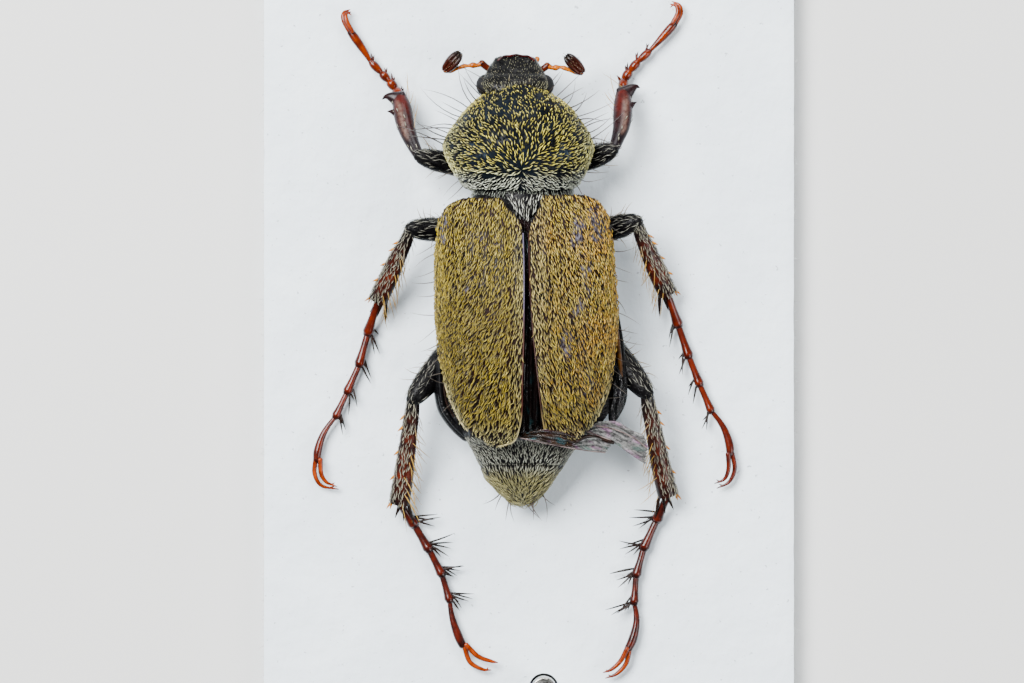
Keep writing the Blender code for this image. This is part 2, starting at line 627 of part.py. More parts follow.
def blade(name, outline, levels, veins, neighbours):
    """A torn blade of the hind wing: a thin plate with its main veins raised on it."""
    material = finish("wing_membrane", (0.45, 0.42, 0.37), 0.3)
    start = min(x for x, _ in outline)
    end = max(x for x, _ in outline)

    def lifted(x, y, shift):
        """A point of the blade at a place of the plan."""
        return x, y, levels[0] + (levels[1] - levels[0]) * (x - start) / (end - start) + shift

    rings = [[lifted(x, y, shift) for x, y in outline] for shift in (0.0, BLADE_THICK)]
    plate = loft(name, rings, material)
    ridges = []
    for vein in veins:
        stations = [(*lifted(x, y, BLADE_THICK * 0.9), VEIN_RADIUS, VEIN_RADIUS) for x, y in vein]
        ridges.append(limb("vein", stations, 5, CLAW_SIDES, material))
    return trim(fuse(plate, ridges), neighbours)


def in_plan(point, level):
    """A plan point at a level."""
    return Vector((point[0], point[1], level))


def toe_stations(leg):
    """Joints of the tarsus, and its stations: five segments, each widest at its far end."""
    joints = [Vector(leg["ankle"])] + [in_plan(point, TOE_LEVEL) for point in leg["toes"]]
    stations = []
    for k, (start, end) in enumerate(zip(joints, joints[1:])):
        share = k / 4
        radius = TOE_RADII[0] * (1 - share) + TOE_RADII[1] * share
        for along, size in TOE_SHAPE:
            stations.append((*start.lerp(end, along), radius * size, radius * size))
    middle, end = (in_plan(point, TOE_LEVEL) for point in leg["last"])
    for spot, size in zip((joints[-1].lerp(middle, 0.2), middle, end), LAST_TOE_SHAPE):
        stations.append((*spot, TOE_RADII[1] * size, TOE_RADII[1] * size))
    return joints, stations


def toe_spines(leg, joints, draw):
    """Spines round the far end of the first four toe segments, on the inner side."""
    spines = []
    for before, joint in zip(joints, joints[1:]):
        along = (joint - before)
        along.z = 0
        along.normalize()
        inner = Vector((-along.y, along.x, 0))
        if inner.x * leg["side"] < 0:
            inner = -inner
        for k in range(leg["spines"]):
            turn = math.radians(48 - 34 * k + draw.uniform(-5, 5))
            way = along * math.sin(turn) + inner * math.cos(turn)
            way.z = draw.uniform(-0.06, 0.12)
            root = joint - along * 0.1
            spines.append(spine(root, root + way * leg["spine"] * draw.uniform(0.88, 1.1)))
    return spines


def shin_spines(leg, draw):
    """Spines along the outer edge of the tibia, its end spurs and any outer teeth."""
    knee, ankle = Vector(leg["knee"]), Vector(leg["ankle"])
    along = (ankle - knee).normalized()
    outer = Vector((-leg["side"], 0, 0))
    outer = (outer - along * outer.dot(along)).normalized()
    spines = []
    for share in SHIN_SPINE_SHARES:
        root = knee.lerp(ankle, share)
        way = outer * 0.86 + along * 0.5
        spines.append(spine(root, root + way * draw.uniform(*SHIN_SPINE_LENGTHS)))
    for lean in (0.8, -0.8):
        root = ankle - along * 0.12
        way = outer * lean + along * 0.5
        spines.append(spine(root, root + way * SHIN_SPINE_LENGTHS[1]))
    for place, point in zip(TOOTH_PLACES, leg["teeth"]):
        root = knee.lerp(ankle, place)
        spines.append(spine(root, in_plan(point, root.z), TOOTH_RADII))
    return spines


def hooks(place, leg):
    """The two claws, joined at their root."""
    amber = finish("claw_amber", (0.45, 0.17, 0.05), 0.35)
    end = in_plan(leg["last"][1], TOE_LEVEL)
    start = end.lerp(in_plan(leg["last"][0], TOE_LEVEL), 0.1)
    made = []
    for k, (middle, tip) in enumerate(leg["claws"]):
        bend, point = (TOE_LEVEL + level + CLAW_STEP * k for level in CLAW_LEVELS)
        path = (start, in_plan(middle, bend), in_plan(tip, point))
        stations = [(*spot, radius, radius) for spot, radius in zip(path, CLAW_RADII)]
        made.append(limb(f"{place}_claws" if k == 0 else "hook", stations, CLAW_STEPS, CLAW_SIDES, amber))
    return fuse(made[0], made[1:])


def leg_pieces(place, leg, trunk_pieces, draw):
    """Femur, tibia, tarsus and claws of one leg."""
    hip, knee, ankle = (Vector(leg[key]) for key in ("hip", "knee", "ankle"))
    thick = leg["thigh"]
    stations = [(*hip.lerp(knee, share), thick * size, thick * size) for share, size in THIGH_SHAPE]
    black = finish("leg_black", (0.03, 0.025, 0.025), 0.45)
    femur = trim(limb(f"{place}_femur", stations, THIGH_STEPS, LIMB_SIDES, black), trunk_pieces)
    narrow, wide = leg["shin"]
    stations = []
    for share, growth in SHIN_SHAPE:
        half = narrow + (wide - narrow) * growth
        stations.append((*knee.lerp(ankle, share), half, half))
    brown = finish("leg_red_brown", (0.14, 0.04, 0.025), 0.4)
    tibia = trim(limb(f"{place}_tibia", stations, SHIN_STEPS, LIMB_SIDES, brown), [femur])
    joints, stations = toe_stations(leg)
    red = finish("toe_red", (0.2, 0.05, 0.025), 0.35)
    tarsus = trim(limb(f"{place}_tarsus", stations, len(stations), TOE_SIDES, red), [tibia])
    claws = trim(hooks(place, leg), [tarsus])
    fuse(tibia, shin_spines(leg, draw))
    fuse(tarsus, toe_spines(leg, joints, draw))
    return femur, tibia, tarsus, claws


def build():
    """Make every piece of the specimen."""
    draw = random.Random(SEED)
    card_and_pin()
    thorax = trunk_part("thorax", TRUNK_SPLIT, TRUNK_FRONT, THORAX_STEPS)
    abdomen = trunk_part("abdomen", TRUNK_BACK, TRUNK_SPLIT - SEAM, ABDOMEN_STEPS)
    tail()
    prothorax = neck()
    head = skull()
    eyes = [trim(eye("eye_left", -1), [prothorax]), trim(eye("eye_right", 1), [prothorax])]
    trim(head, eyes)
    for side, stations, ends in (("left", STALK_LEFT, CLUB_LEFT), ("right", STALK_RIGHT, CLUB_RIGHT)):
        feeler = stalk(f"antenna_stalk_{side}", stations, [head, *eyes])
        club(f"antenna_club_{side}", ends, feeler)
    stalk("palp_left", PALP_LEFT, [head])
    stalk("palp_right", PALP_RIGHT, [head])
    scutellum()
    wing_case("elytron_left", LEFT_INNER, LEFT_OUTER)
    right_case = wing_case("elytron_right", RIGHT_INNER, RIGHT_OUTER)
    black = finish("wing_fold_black", (0.03, 0.025, 0.03), 0.3)
    fold = limb("hind_wing_fold", FOLD_STATIONS, 8, LIMB_SIDES, black)
    trim(fold, [abdomen, right_case])
    lower = blade("hind_wing_blade_lower", BLADE_LOWER, BLADE_LOWER_LEVELS, BLADE_LOWER_VEINS,
                  [abdomen, right_case, fold])
    blade("hind_wing_blade_upper", BLADE_UPPER, BLADE_UPPER_LEVELS, BLADE_UPPER_VEINS,
          [abdomen, right_case, fold, lower])
    for place, leg in LEGS.items():
        leg_pieces(place, leg, [prothorax, thorax, abdomen], draw)
    for thing in bpy.data.objects:
        thing.data.transform(Matrix.Scale(MM, 4))


for leftover in list(bpy.data.objects):
    bpy.data.objects.remove(leftover)
build()
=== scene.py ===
"""Dresses a card-mounted chafer beetle, Macrodactylus farinosus, for a museum-like close view.

Sizes and places in the classes are millimetres in the frame's axes: head towards +Y, back up.
"""

import logging
from collections.abc import Callable, Sequence
from dataclasses import dataclass
from enum import Enum
from itertools import product
from math import cos, dist, pi, radians, sin, sqrt
from typing import ClassVar

import bpy
import numpy as np
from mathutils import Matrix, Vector, noise


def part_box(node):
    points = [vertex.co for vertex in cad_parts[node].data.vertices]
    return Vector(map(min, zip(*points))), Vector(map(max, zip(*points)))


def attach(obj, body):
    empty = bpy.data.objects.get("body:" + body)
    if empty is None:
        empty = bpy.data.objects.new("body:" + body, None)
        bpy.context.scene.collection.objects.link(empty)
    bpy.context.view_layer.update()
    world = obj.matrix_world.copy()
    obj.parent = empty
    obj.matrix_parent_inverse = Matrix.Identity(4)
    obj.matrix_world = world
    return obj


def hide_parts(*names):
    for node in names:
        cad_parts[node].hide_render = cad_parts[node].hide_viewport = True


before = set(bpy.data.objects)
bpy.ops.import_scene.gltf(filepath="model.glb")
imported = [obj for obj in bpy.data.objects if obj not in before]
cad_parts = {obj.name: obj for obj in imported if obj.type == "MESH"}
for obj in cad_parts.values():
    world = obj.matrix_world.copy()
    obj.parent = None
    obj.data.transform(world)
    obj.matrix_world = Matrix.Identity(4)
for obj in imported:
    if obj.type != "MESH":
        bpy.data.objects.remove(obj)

Array = np.ndarray
Draw = np.random.Generator
Material = bpy.types.Material
Piece = bpy.types.Object
Socket = bpy.types.NodeSocket
Table = tuple[tuple[float, ...], ...]

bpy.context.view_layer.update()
MM = 0.001
UP = np.array((0.0, 0.0, 1.0))
WELD = 1e-7
BAKE_PATCH = 0.003
THINNEST = 0.002
SMOOTH_UNDER = radians(50)
DRAWS_FOR_ROOT = 2.2
ROOT_SPACING = 0.7

log = logging.getLogger("chafer")


class Side(Enum):
    """The beetle's own sides, as the sign of X."""

    LEFT = -1
    RIGHT = 1


class Pair(Enum):
    """The three pairs of legs."""

    FRONT = "front"
    MIDDLE = "middle"
    HIND = "hind"


def tone(red: int, green: int, blue: int) -> Array:
    """Linear colour of an 8-bit screen colour."""
    screen = np.array((red, green, blue)) / 255
    return np.where(screen <= 0.04045, screen / 12.92, ((screen + 0.055) / 1.055) ** 2.4)


def unit(vectors: Array) -> Array:
    """Vectors at length one."""
    return vectors / np.maximum(np.linalg.norm(vectors, axis=-1, keepdims=True), 1e-9)


def vectors(x: Array | float, y: Array | float, z: Array | float = 0.0) -> Array:
    """Vectors from their parts, each an array or one number for all."""
    return np.stack(np.broadcast_arrays(x, y, z), axis=-1).astype(float)


def turned(way: Array) -> Array:
    """A direction laid flat and turned a quarter about Z."""
    return np.array((-way[1], way[0], 0.0))


def step_up(values: Array, low: float, high: float) -> Array:
    """A smooth rise from 0 at low to 1 at high, or a fall where high is the lower."""
    share = np.clip((np.asarray(values, float) - low) / (high - low), 0, 1)
    return share * share * (3 - 2 * share)


def grain(points: Array, size: float, seed: float = 0.0) -> Array:
    """Smooth noise from about -1 to 1 at each point, with grains of a size in millimetres."""
    shift = Vector((seed * 7.3, seed * 3.1, seed * 5.7))
    return np.array([noise.noise(Vector(point) / size + shift) for point in points])


@dataclass(frozen=True)
class Line:
    """A smooth line through three or more (place, value, ...) points, sorted by place."""

    points: Table

    def at(self, places: Array | float) -> Array:
        """Values at places.

        Args:
            places: One place or an array of them.

        Returns:
            One value for each place, or a row of values where the points have several.
        """
        table = np.array(self.points, float)
        knots, values = table[:, 0], table[:, 1:]
        slopes = np.gradient(values, knots, axis=0)
        spots = np.clip(np.atleast_1d(np.asarray(places, float)), knots[0], knots[-1])
        first = np.clip(np.searchsorted(knots, spots, side="right") - 1, 0, len(knots) - 2)
        run = (knots[first + 1] - knots[first])[:, None]
        t = (spots - knots[first])[:, None] / run
        ease = t * t * (3 - 2 * t)
        result = values[first] * (1 - ease) + values[first + 1] * ease
        result = result + run * (t * (1 - t) ** 2 * slopes[first] + t * t * (t - 1) * slopes[first + 1])
        if values.shape[1] == 1:
            result = result[:, 0]
        return result if np.ndim(places) else result[0]


@dataclass
class Sheet:
    """A grid of points that a skin is drawn on, and that setae grow from."""

    points: Array
    rolled: bool = False

    @classmethod
    def tube(cls, x: Array, y: Array, z: Array) -> "Sheet":
        """A rolled sheet whose rows each lie across at one y."""
        return cls(vectors(x, y[:, None], z), rolled=True)

    def middle(self) -> Array:
        """Each row's centre."""
        return self.points.mean(axis=1, keepdims=True)

    def close(self) -> "Sheet":
        """Bring the two long edges of a rolled sheet together."""
        self.points[:, -1] = self.points[:, 0]
        return self

    def roughen(self, size: float, seed: float, height: float, stretch: Sequence[float] = (1, 1, 1)) -> None:
        """Lift and lower the points with noise in grains of a size."""
        noises = grain(self.points.reshape(-1, 3) * stretch, size, seed)
        self.points[..., 2] += noises.reshape(self.points.shape[:2]) * height

    def normals(self) -> Array:
        """The skin's normals.

        Returns:
            Outward unit normals at the grid's points, upwards on an open sheet.
        """
        down = np.gradient(self.points, axis=0)
        if self.rolled:
            ring = self.points[:, :-1]
            across = (np.roll(ring, -1, axis=1) - np.roll(ring, 1, axis=1)) / 2
            across = np.concatenate((across, across[:, :1]), axis=1)
        else:
            across = np.gradient(self.points, axis=1)
        found = unit(np.cross(across, down))
        outward = self.points - self.middle() if self.rolled else UP
        return found if float(np.sum(found * outward)) > 0 else -found

    def scatter(self, density: float, rng: Draw, keep: Callable[[Array, Array], Array]) -> "Roots":
        """Evenly spread root points.

        Args:
            density: Roots for each square millimetre.
            rng: Source of the random draw.
            keep: Share from 0 to 1 of the roots to keep, by their points and places on the unwrap.

        Returns:
            The roots that stand clear of each other.
        """
        corner = self.points[:-1, :-1]
        sides = self.points[:-1, 1:] - corner, self.points[1:, :-1] - corner
        areas = np.linalg.norm(np.cross(*sides), axis=-1)
        count = int(areas.sum() * density * DRAWS_FOR_ROOT)
        picks = rng.choice(areas.size, size=count, p=areas.ravel() / areas.sum())
        row, column = np.unravel_index(picks, areas.shape)
        s, t = rng.random(count)[:, None], rng.random(count)[:, None]

        def blend(grid: Array) -> Array:
            """Values of a grid at the picked places."""
            near, far = (grid[k, column] * (1 - s) + grid[k, column + 1] * s for k in (row, row + 1))
            return near * (1 - t) + far * t

        spots, normals = blend(self.points), unit(blend(self.normals()))
        rows, columns = self.points.shape[:2]
        places = np.stack(((column + s[:, 0]) / (columns - 1), (row + t[:, 0]) / (rows - 1)), axis=1)
        wanted = rng.random(count) < keep(spots, places)
        spots, normals, places = spots[wanted], normals[wanted], places[wanted]
        clear = self.spaced(spots, ROOT_SPACING / sqrt(density))
        return Roots(spots[clear], normals[clear], places[clear])

    @staticmethod
    def spaced(spots: Array, distance: float) -> Array:
        """Pick spots that keep a distance from each earlier one.

        Args:
            spots: Points in the order of their draw.
            distance: The least distance between two.

        Returns:
            Indices of the picked spots.
        """
        cells: dict[tuple[int, int, int], list[list[float]]] = {}
        chosen = []
        steps = list(product((-1, 0, 1), repeat=3))
        keys = np.floor(spots / distance).astype(int)
        for index, ((x, y, z), spot) in enumerate(zip(keys.tolist(), spots.tolist())):
            near = (other for dx, dy, dz in steps for other in cells.get((x + dx, y + dy, z + dz), ()))
            if all(dist(other, spot) >= distance for other in near):
                cells.setdefault((x, y, z), []).append(spot)
                chosen.append(index)
        return np.array(chosen, int)


@dataclass
class Roots:
    """Where setae grow: points, the skin's normals and their places on its unwrap."""

    points: Array
    normals: Array
    places: Array

    def along(self, ways: Array) -> Array:
        """Directions laid into the skin."""
        return unit(ways - self.normals * np.sum(ways * self.normals, axis=1, keepdims=True))


@dataclass(frozen=True)
class Seta:
    """One kind of seta: a tapered closed blade."""

    length: float
    width: float
    rise: float = 0.12
    start: float = 0.25
    back: float = 0.25
    thin: float = 0.5
    uneven: float = 0.25
    sway: float = 0.15
    shades: tuple[float, float] = (0.72, 1.18)
    rings: Table = ((0.0, 0.6), (0.35, 1.0), (0.7, 0.85), (1.0, 0.15))
    sunk: float = 0.2
    uneven_rise: float = 0.4
    uneven_width: float = 0.2

    def grow(self, name: str, roots: Roots, ways: Array, tints: Array, rng: Draw,
             lengths: Array | float = 1.0) -> Piece:
        """Make one mesh of setae.

        Args:
            name: Name of the piece.
            roots: Where they grow.
            ways: Where each one points.
            tints: Linear colour of each one.
            rng: Source of the random draw.
            lengths: Factor on each one's length.

        Returns:
            The joined setae, at the origin.
        """
        count = len(roots.points)
        ways = roots.along(np.broadcast_to(ways, (count, 3)))
        sides = np.cross(roots.normals, ways)
        long = self.length * ((1 + self.uneven * rng.uniform(-1, 1, count)) * lengths)
        sway = self.sway * rng.normal(0, 1, count)
        lift = self.rise * (1 + self.uneven_rise * rng.uniform(-1, 1, count))
        width = self.width * (1 + self.uneven_width * rng.uniform(-1, 1, count))
        rings = []
        for place, share in self.rings:
            arch = 4 * place * (1 - place) * (1 - self.start) + self.start * place
            reach, up, bow = (part[:, None] for part in (long * (place - self.back), long * lift * arch,
                                                         long * sway * place * place))
            centre = roots.points + ways * reach + roots.normals * (up - self.width * self.sunk) + sides * bow
            half = (width * share / 2)[:, None]
            rings.append(np.stack((centre - sides * half, centre + sides * half,
                                   centre + roots.normals * half * 2 * self.thin), axis=1))
        shade = rng.uniform(*self.shades, count)[:, None]
        return self.mesh(name, np.stack(rings, axis=1).reshape(-1, 3), roots.places, tints * shade)

    def mesh(self, name: str, points: Array, places: Array, colours: Array) -> Piece:
        """Join rings of three points into closed blades with colours and an unwrap.

        Args:
            name: Name of the piece.
            points: The rings' points, blade by blade.
            places: Each blade's place on the unwrap.
            colours: Each blade's linear colour.

        Returns:
            The joined blades.
        """
        count, levels = len(places), len(self.rings)
        step = np.arange(levels * 3 - 3)
        after = step - step % 3 + (step + 1) % 3
        quads = np.stack((step, after, after + 3, step + 3), axis=1)
        ends = np.array(((2, 1, 0), step[-3:] + 3))
        starts = (np.arange(count) * levels * 3)[:, None, None]
        polygons = (quads + starts).reshape(-1, 4).tolist() + (ends + starts).reshape(-1, 3).tolist()
        mesh = bpy.data.meshes.new(name)
        mesh.from_pydata((points * MM).tolist(), [], polygons)
        along = np.tile(np.repeat([place for place, _ in self.rings], 3), count)
        around = np.tile((0.0, 0.5, 1.0), count * levels)
        rgba = np.repeat(np.concatenate((colours, np.ones((count, 1))), axis=1), levels * 3, axis=0)
        tint = mesh.color_attributes.new("tint", "FLOAT_COLOR", "POINT")
        tint.data.foreach_set("color", rgba.ravel().astype(np.float32))
        Bench.mark(mesh, "along", along)
        corners = np.empty(len(mesh.loops), np.int32)
        mesh.loops.foreach_get("vertex_index", corners)
        spots = np.repeat(places, levels * 3, axis=0) * (1 - BAKE_PATCH)
        spots = spots + np.stack((around, along), axis=1) * BAKE_PATCH
        mesh.uv_layers.new(name="OFBake").data.foreach_set("uv", spots[corners].ravel().astype(np.float32))
        mesh.polygons.foreach_set("use_smooth", np.ones(len(mesh.polygons), bool))
        coat = bpy.data.objects.new(name, mesh)
        bpy.context.scene.collection.objects.link(coat)
        return coat


class Bench:
    """The modelling bench: what it takes to shape, dress and report one piece."""

    @staticmethod
    def clear() -> None:
        """Deselect everything."""
        bpy.ops.object.select_all(action="DESELECT")

    @staticmethod
    def edit() -> None:
        """Open the active piece in edit mode, selected all over."""
        bpy.ops.object.mode_set(mode="EDIT")
        bpy.ops.mesh.select_all(action="SELECT")

    @staticmethod
    def mark(mesh: bpy.types.Mesh, key: str, values: Array) -> None:
        """Store a value for each point, under the key that a finish reads."""
        layer = mesh.attributes.get(key) or mesh.attributes.new(key, "FLOAT", "POINT")
        layer.data.foreach_set("value", np.asarray(values, np.float32))

    @classmethod
    def skin(cls, name: str, sheet: Sheet, wall: float = 0.0) -> Piece:
        """Shape a grid over a sheet, and close it.

        Args:
            name: Name of the piece.
            sheet: The sheet it follows.
            wall: Thickness under an open sheet, or 0 for a rolled one, whose ends are filled.

        Returns:
            The closed skin.
        """
        cls.clear()
        rows, columns = sheet.points.shape[:2]
        bpy.ops.mesh.primitive_grid_add(x_subdivisions=columns - 1, y_subdivisions=rows - 1, size=2 * MM)
        piece = bpy.context.object
        piece.name = piece.data.name = name
        piece.data.vertices.foreach_set("co", (sheet.points * MM).ravel().astype(np.float32))
        piece.data.update()
        # This amount is 1 at a piece's sides and 0 along its middle; the Horn finishes use it to paint shade on
        # the flanks.
        flank_shade = np.cos(np.linspace(0, 2 * pi, columns)) if sheet.rolled else np.linspace(-1, 1, columns)
        cls.mark(piece.data, "flank_shade", np.tile(np.abs(flank_shade), rows))
        cls.mark(piece.data, "run", np.repeat(np.linspace(0, 1, rows), columns))
        cls.edit()
        bpy.ops.mesh.remove_doubles(threshold=WELD)
        if sheet.rolled:
            bpy.ops.mesh.fill_holes(sides=0)
        bpy.ops.mesh.normals_make_consistent(inside=False)
        bpy.ops.object.mode_set(mode="OBJECT")
        if wall:
            if piece.data.polygons[len(piece.data.polygons) // 2].normal.z < 0:
                piece.data.flip_normals()
            shell = piece.modifiers.new("wall", "SOLIDIFY")
            shell.thickness = wall * MM
            shell.offset = -1
            bpy.ops.object.modifier_apply(modifier=shell.name)
        bpy.ops.object.shade_smooth_by_angle(angle=SMOOTH_UNDER)
        return piece

    @classmethod
    def paint(cls, piece: Piece, key: str, amount: Callable[[Array], Array]) -> None:
        """Store an amount that depends on place.

        Args:
            piece: The piece.
            key: The key that its finish reads.
            amount: The amounts at points of the piece.
        """
        spots = np.empty(len(piece.data.vertices) * 3, np.float32)
        piece.data.vertices.foreach_get("co", spots)
        cls.mark(piece.data, key, amount(spots.reshape(-1, 3) / MM))

    @staticmethod
    def finish(piece: Piece, material: Material, slot: str, *nodes: str) -> None:
        """Dress a piece, ride it and name what it replaces.

        Args:
            piece: The piece.
            material: Its finish.
            slot: Its material slot in the record; not used.
            nodes: The nodes that it replaces.
        """
        piece.data.materials.clear()
        piece.data.materials.append(material)
        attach(piece, "root")
        if nodes:
            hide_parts(*nodes)
        log.info("%s: %d faces", piece.name, len(piece.data.polygons))

    @classmethod
    def join(cls, name: str, pieces: Sequence[Piece]) -> Piece:
        """Join pieces into one object.

        Args:
            name: Name of the joined piece.
            pieces: What to join.

        Returns:
            The joined piece.
        """
        cls.clear()
        for piece in pieces:
            piece.select_set(True)
        bpy.context.view_layer.objects.active = pieces[0]
        if len(pieces) > 1:
            bpy.ops.object.join()
        joined = bpy.context.object
        joined.name = joined.data.name = name
        return joined


def bar(stations: Sequence[Sequence[float]], rows: int, columns: int, blunt: bool = False) -> Sheet:
    """A bent bar with round ends.

    Args:
        stations: Points along it, as (x, y, z, half width, half height) or (x, y, z, radius).
        rows: Samples along it.
        columns: Samples round it.
        blunt: Whether its far end is cut straight.

    Returns:
        The rolled sheet of its surface.
    """
    line = Line(tuple((float(k), *row[:4], row[-1]) for k, row in enumerate(stations)))
    samples = line.at(np.linspace(0, len(stations) - 1, rows))
    centres, halves = samples[:, :3], np.maximum(samples[:, 3:], THINNEST)
    ways = unit(np.gradient(centres, axis=0))
    turns = np.linspace(0, 2 * pi, columns)
    cap = [(sqrt(1 - (1 - share) ** 2), 1 - share) for share in (0.15, 0.5, 0.8)]
    spots = [(0, scale, -shift) for scale, shift in cap] + [(row, 1.0, 0.0) for row in range(rows)]
    if not blunt:
        spots += [(rows - 1, scale, shift) for scale, shift in reversed(cap)]
    rings = []
    for row, scale, shift in spots:
        side = unit(np.cross(ways[row], UP))
        rise = np.cross(side, ways[row])
        centre = centres[row] + ways[row] * shift * halves[row].min()
        ring = centre + np.outer(np.cos(turns), side) * halves[row, 0] * scale
        rings.append(ring + np.outer(np.sin(turns), rise) * halves[row, 1] * scale)
    return Sheet(np.array(rings), rolled=True)


class Mixer:
    """A Principled material with its node tree."""

    def __init__(self, name: str) -> None:
        """Start a material.

        Args:
            name: Its name.
        """
        self.material = bpy.data.materials.new(name)
        self.material.use_nodes = True
        self.nodes = self.material.node_tree.nodes
        self.links = self.material.node_tree.links
        self.shader = self.nodes["Principled BSDF"]

    def node(self, kind: str, inputs: dict, **settings: object) -> bpy.types.Node:
        """Add a node.

        Args:
            kind: Its type.
            inputs: Values or links of its inputs, by name or number.
            settings: Its other settings.

        Returns:
            The node.
        """
        made = self.nodes.new(kind)
        for key, value in settings.items():
            setattr(made, key, value)
        for key, value in inputs.items():
            self.feed(made.inputs[key], value)
        return made

    def feed(self, socket: Socket, value: object) -> None:
        """Link a socket, or set it.

        Args:
            socket: An input.
            value: Another node's output, a colour or a number.
        """
        if isinstance(value, Socket):
            self.links.new(value, socket)
        elif isinstance(value, Array) and socket.type == "RGBA":
            socket.default_value = (*value.tolist(), 1.0)
        else:
            socket.default_value = value

    def amount(self, key: str) -> Socket:
        """An attribute of the mesh."""
        return self.node("ShaderNodeAttribute", {}, attribute_name=key).outputs["Fac"]

    def where(self) -> Socket:
        """Object coordinates."""
        return self.node("ShaderNodeTexCoord", {}).outputs["Object"]

    def noise(self, size: float, detail: float = 3.0, stretch: Sequence[float] = (1, 1, 1),
              turn: float = 0.0) -> Socket:
        """Noise from 0 to 1.

        Args:
            size: Its grains' size in millimetres.
            detail: Its detail.
            stretch: How much finer it is along each axis.
            turn: Degrees that it is turned about Z.

        Returns:
            The noise.
        """
        angles = (0, 0, radians(turn))
        spun = self.node("ShaderNodeMapping", {"Vector": self.where(), "Rotation": angles})
        spread = self.node("ShaderNodeMapping", {"Vector": spun.outputs[0], "Scale": tuple(stretch)})
        inputs = {"Vector": spread.outputs[0], "Scale": 1 / (size * MM), "Detail": detail}
        return self.node("ShaderNodeTexNoise", inputs).outputs["Fac"]

    def pits(self, size: float, sharp: float = 0.45) -> Socket:
        """Round pits of a size in millimetres, 0 in the pit and 1 between."""
        cells = self.node("ShaderNodeTexVoronoi", {"Vector": self.where(), "Scale": 1 / (size * MM)})
        return self.ramp(cells.outputs["Distance"], ((0.1, 0.0), (sharp, 1.0)))

    def ramp(self, value: Socket, stops: Sequence[tuple]) -> Socket:
        """A ramp of greys or colours.

        Args:
            value: What it follows.
            stops: Pairs of a place from 0 to 1 and a grey or a colour.

        Returns:
            The ramp's colour.
        """
        made = self.node("ShaderNodeValToRGB", {"Fac": value})
        elements = made.color_ramp.elements
        while len(elements) < len(stops):
            elements.new(0.5)
        for element, (place, colour) in zip(elements, stops):
            element.position = place
            element.color = (*np.broadcast_to(colour, 3).tolist(), 1.0)
        return made.outputs["Color"]

    def blend(self, share: object, first: object, second: object, way: str = "MIX") -> Socket:
        """A mix of two colours."""
        inputs = {0: share, 6: first, 7: second}
        return self.node("ShaderNodeMix", inputs, data_type="RGBA", blend_type=way).outputs[2]

    def bump(self, height: Socket, depth: float, under: Socket | None = None) -> Socket:
        """A bump of a depth in millimetres, over another or none."""
        below = {"Height": height, "Distance": depth * MM} | ({} if under is None else {"Normal": under})
        return self.node("ShaderNodeBump", below).outputs["Normal"]

    def done(self, **inputs: object) -> Material:
        """Finish the material.

        Args:
            inputs: Values or links of the shader's inputs, in lower case with underscores.

        Returns:
            The material.
        """
        for key, value in inputs.items():
            self.feed(self.shader.inputs[key.replace("_", " ").title().replace("Ior", "IOR")], value)
        return self.material


@dataclass(frozen=True)
class Chitin:
    """Hard skin: two tones in blotches, pits darkened with painted shade, a gloss, and a paler tone where the
    coat is rubbed off, partly the bare skin and partly painted sheen.
    """

    name: str
    light: Array
    dark: Array
    roughness: float = 0.35
    pit: float = 0.05
    depth: float = 0.012
    blotch: float = 0.4
    shine: float = 0.25
    # Paler colour of rubbed patches: partly the bare skin, partly painted sheen.
    wear_and_sheen: Array | None = None

    def make(self) -> Material:
        """Mix the finish.

        Returns:
            Its material.
        """
        mix = Mixer(self.name)
        cloud = mix.ramp(mix.noise(self.blotch), ((0.35, 0.0), (0.65, 1.0)))
        pits = mix.pits(self.pit)
        shade = mix.blend(cloud, self.dark, self.light)
        # Rubbed patches, broken into streaks, take the paler colour: partly the bare skin, partly painted sheen.
        if self.wear_and_sheen is not None:
            streaks = mix.ramp(mix.noise(0.05, 3.0, (1.0, 0.4, 1.0)), ((0.42, 0.05), (0.6, 1.0)))
            rubbed = mix.ramp(mix.amount("sheen_mask"), ((0.12, 0.0), (0.5, 1.0)))
            shade = mix.blend(mix.blend(1.0, rubbed, streaks, "MULTIPLY"), shade, self.wear_and_sheen)
        # Painted shade: the colour is darkened inside the pits.
        shade = mix.blend(mix.ramp(pits, ((0.0, 0.6), (1.0, 0.0))), shade, self.dark * 0.4)
        fine = mix.bump(mix.noise(0.012, 2.0), 0.0015)
        normal = mix.bump(pits, self.depth, fine)
        rough = mix.ramp(mix.noise(0.08), ((0.3, self.roughness * 0.8), (0.7, self.roughness * 1.25)))
        return mix.done(base_color=shade, roughness=rough, normal=normal, specular_ior_level=self.shine)


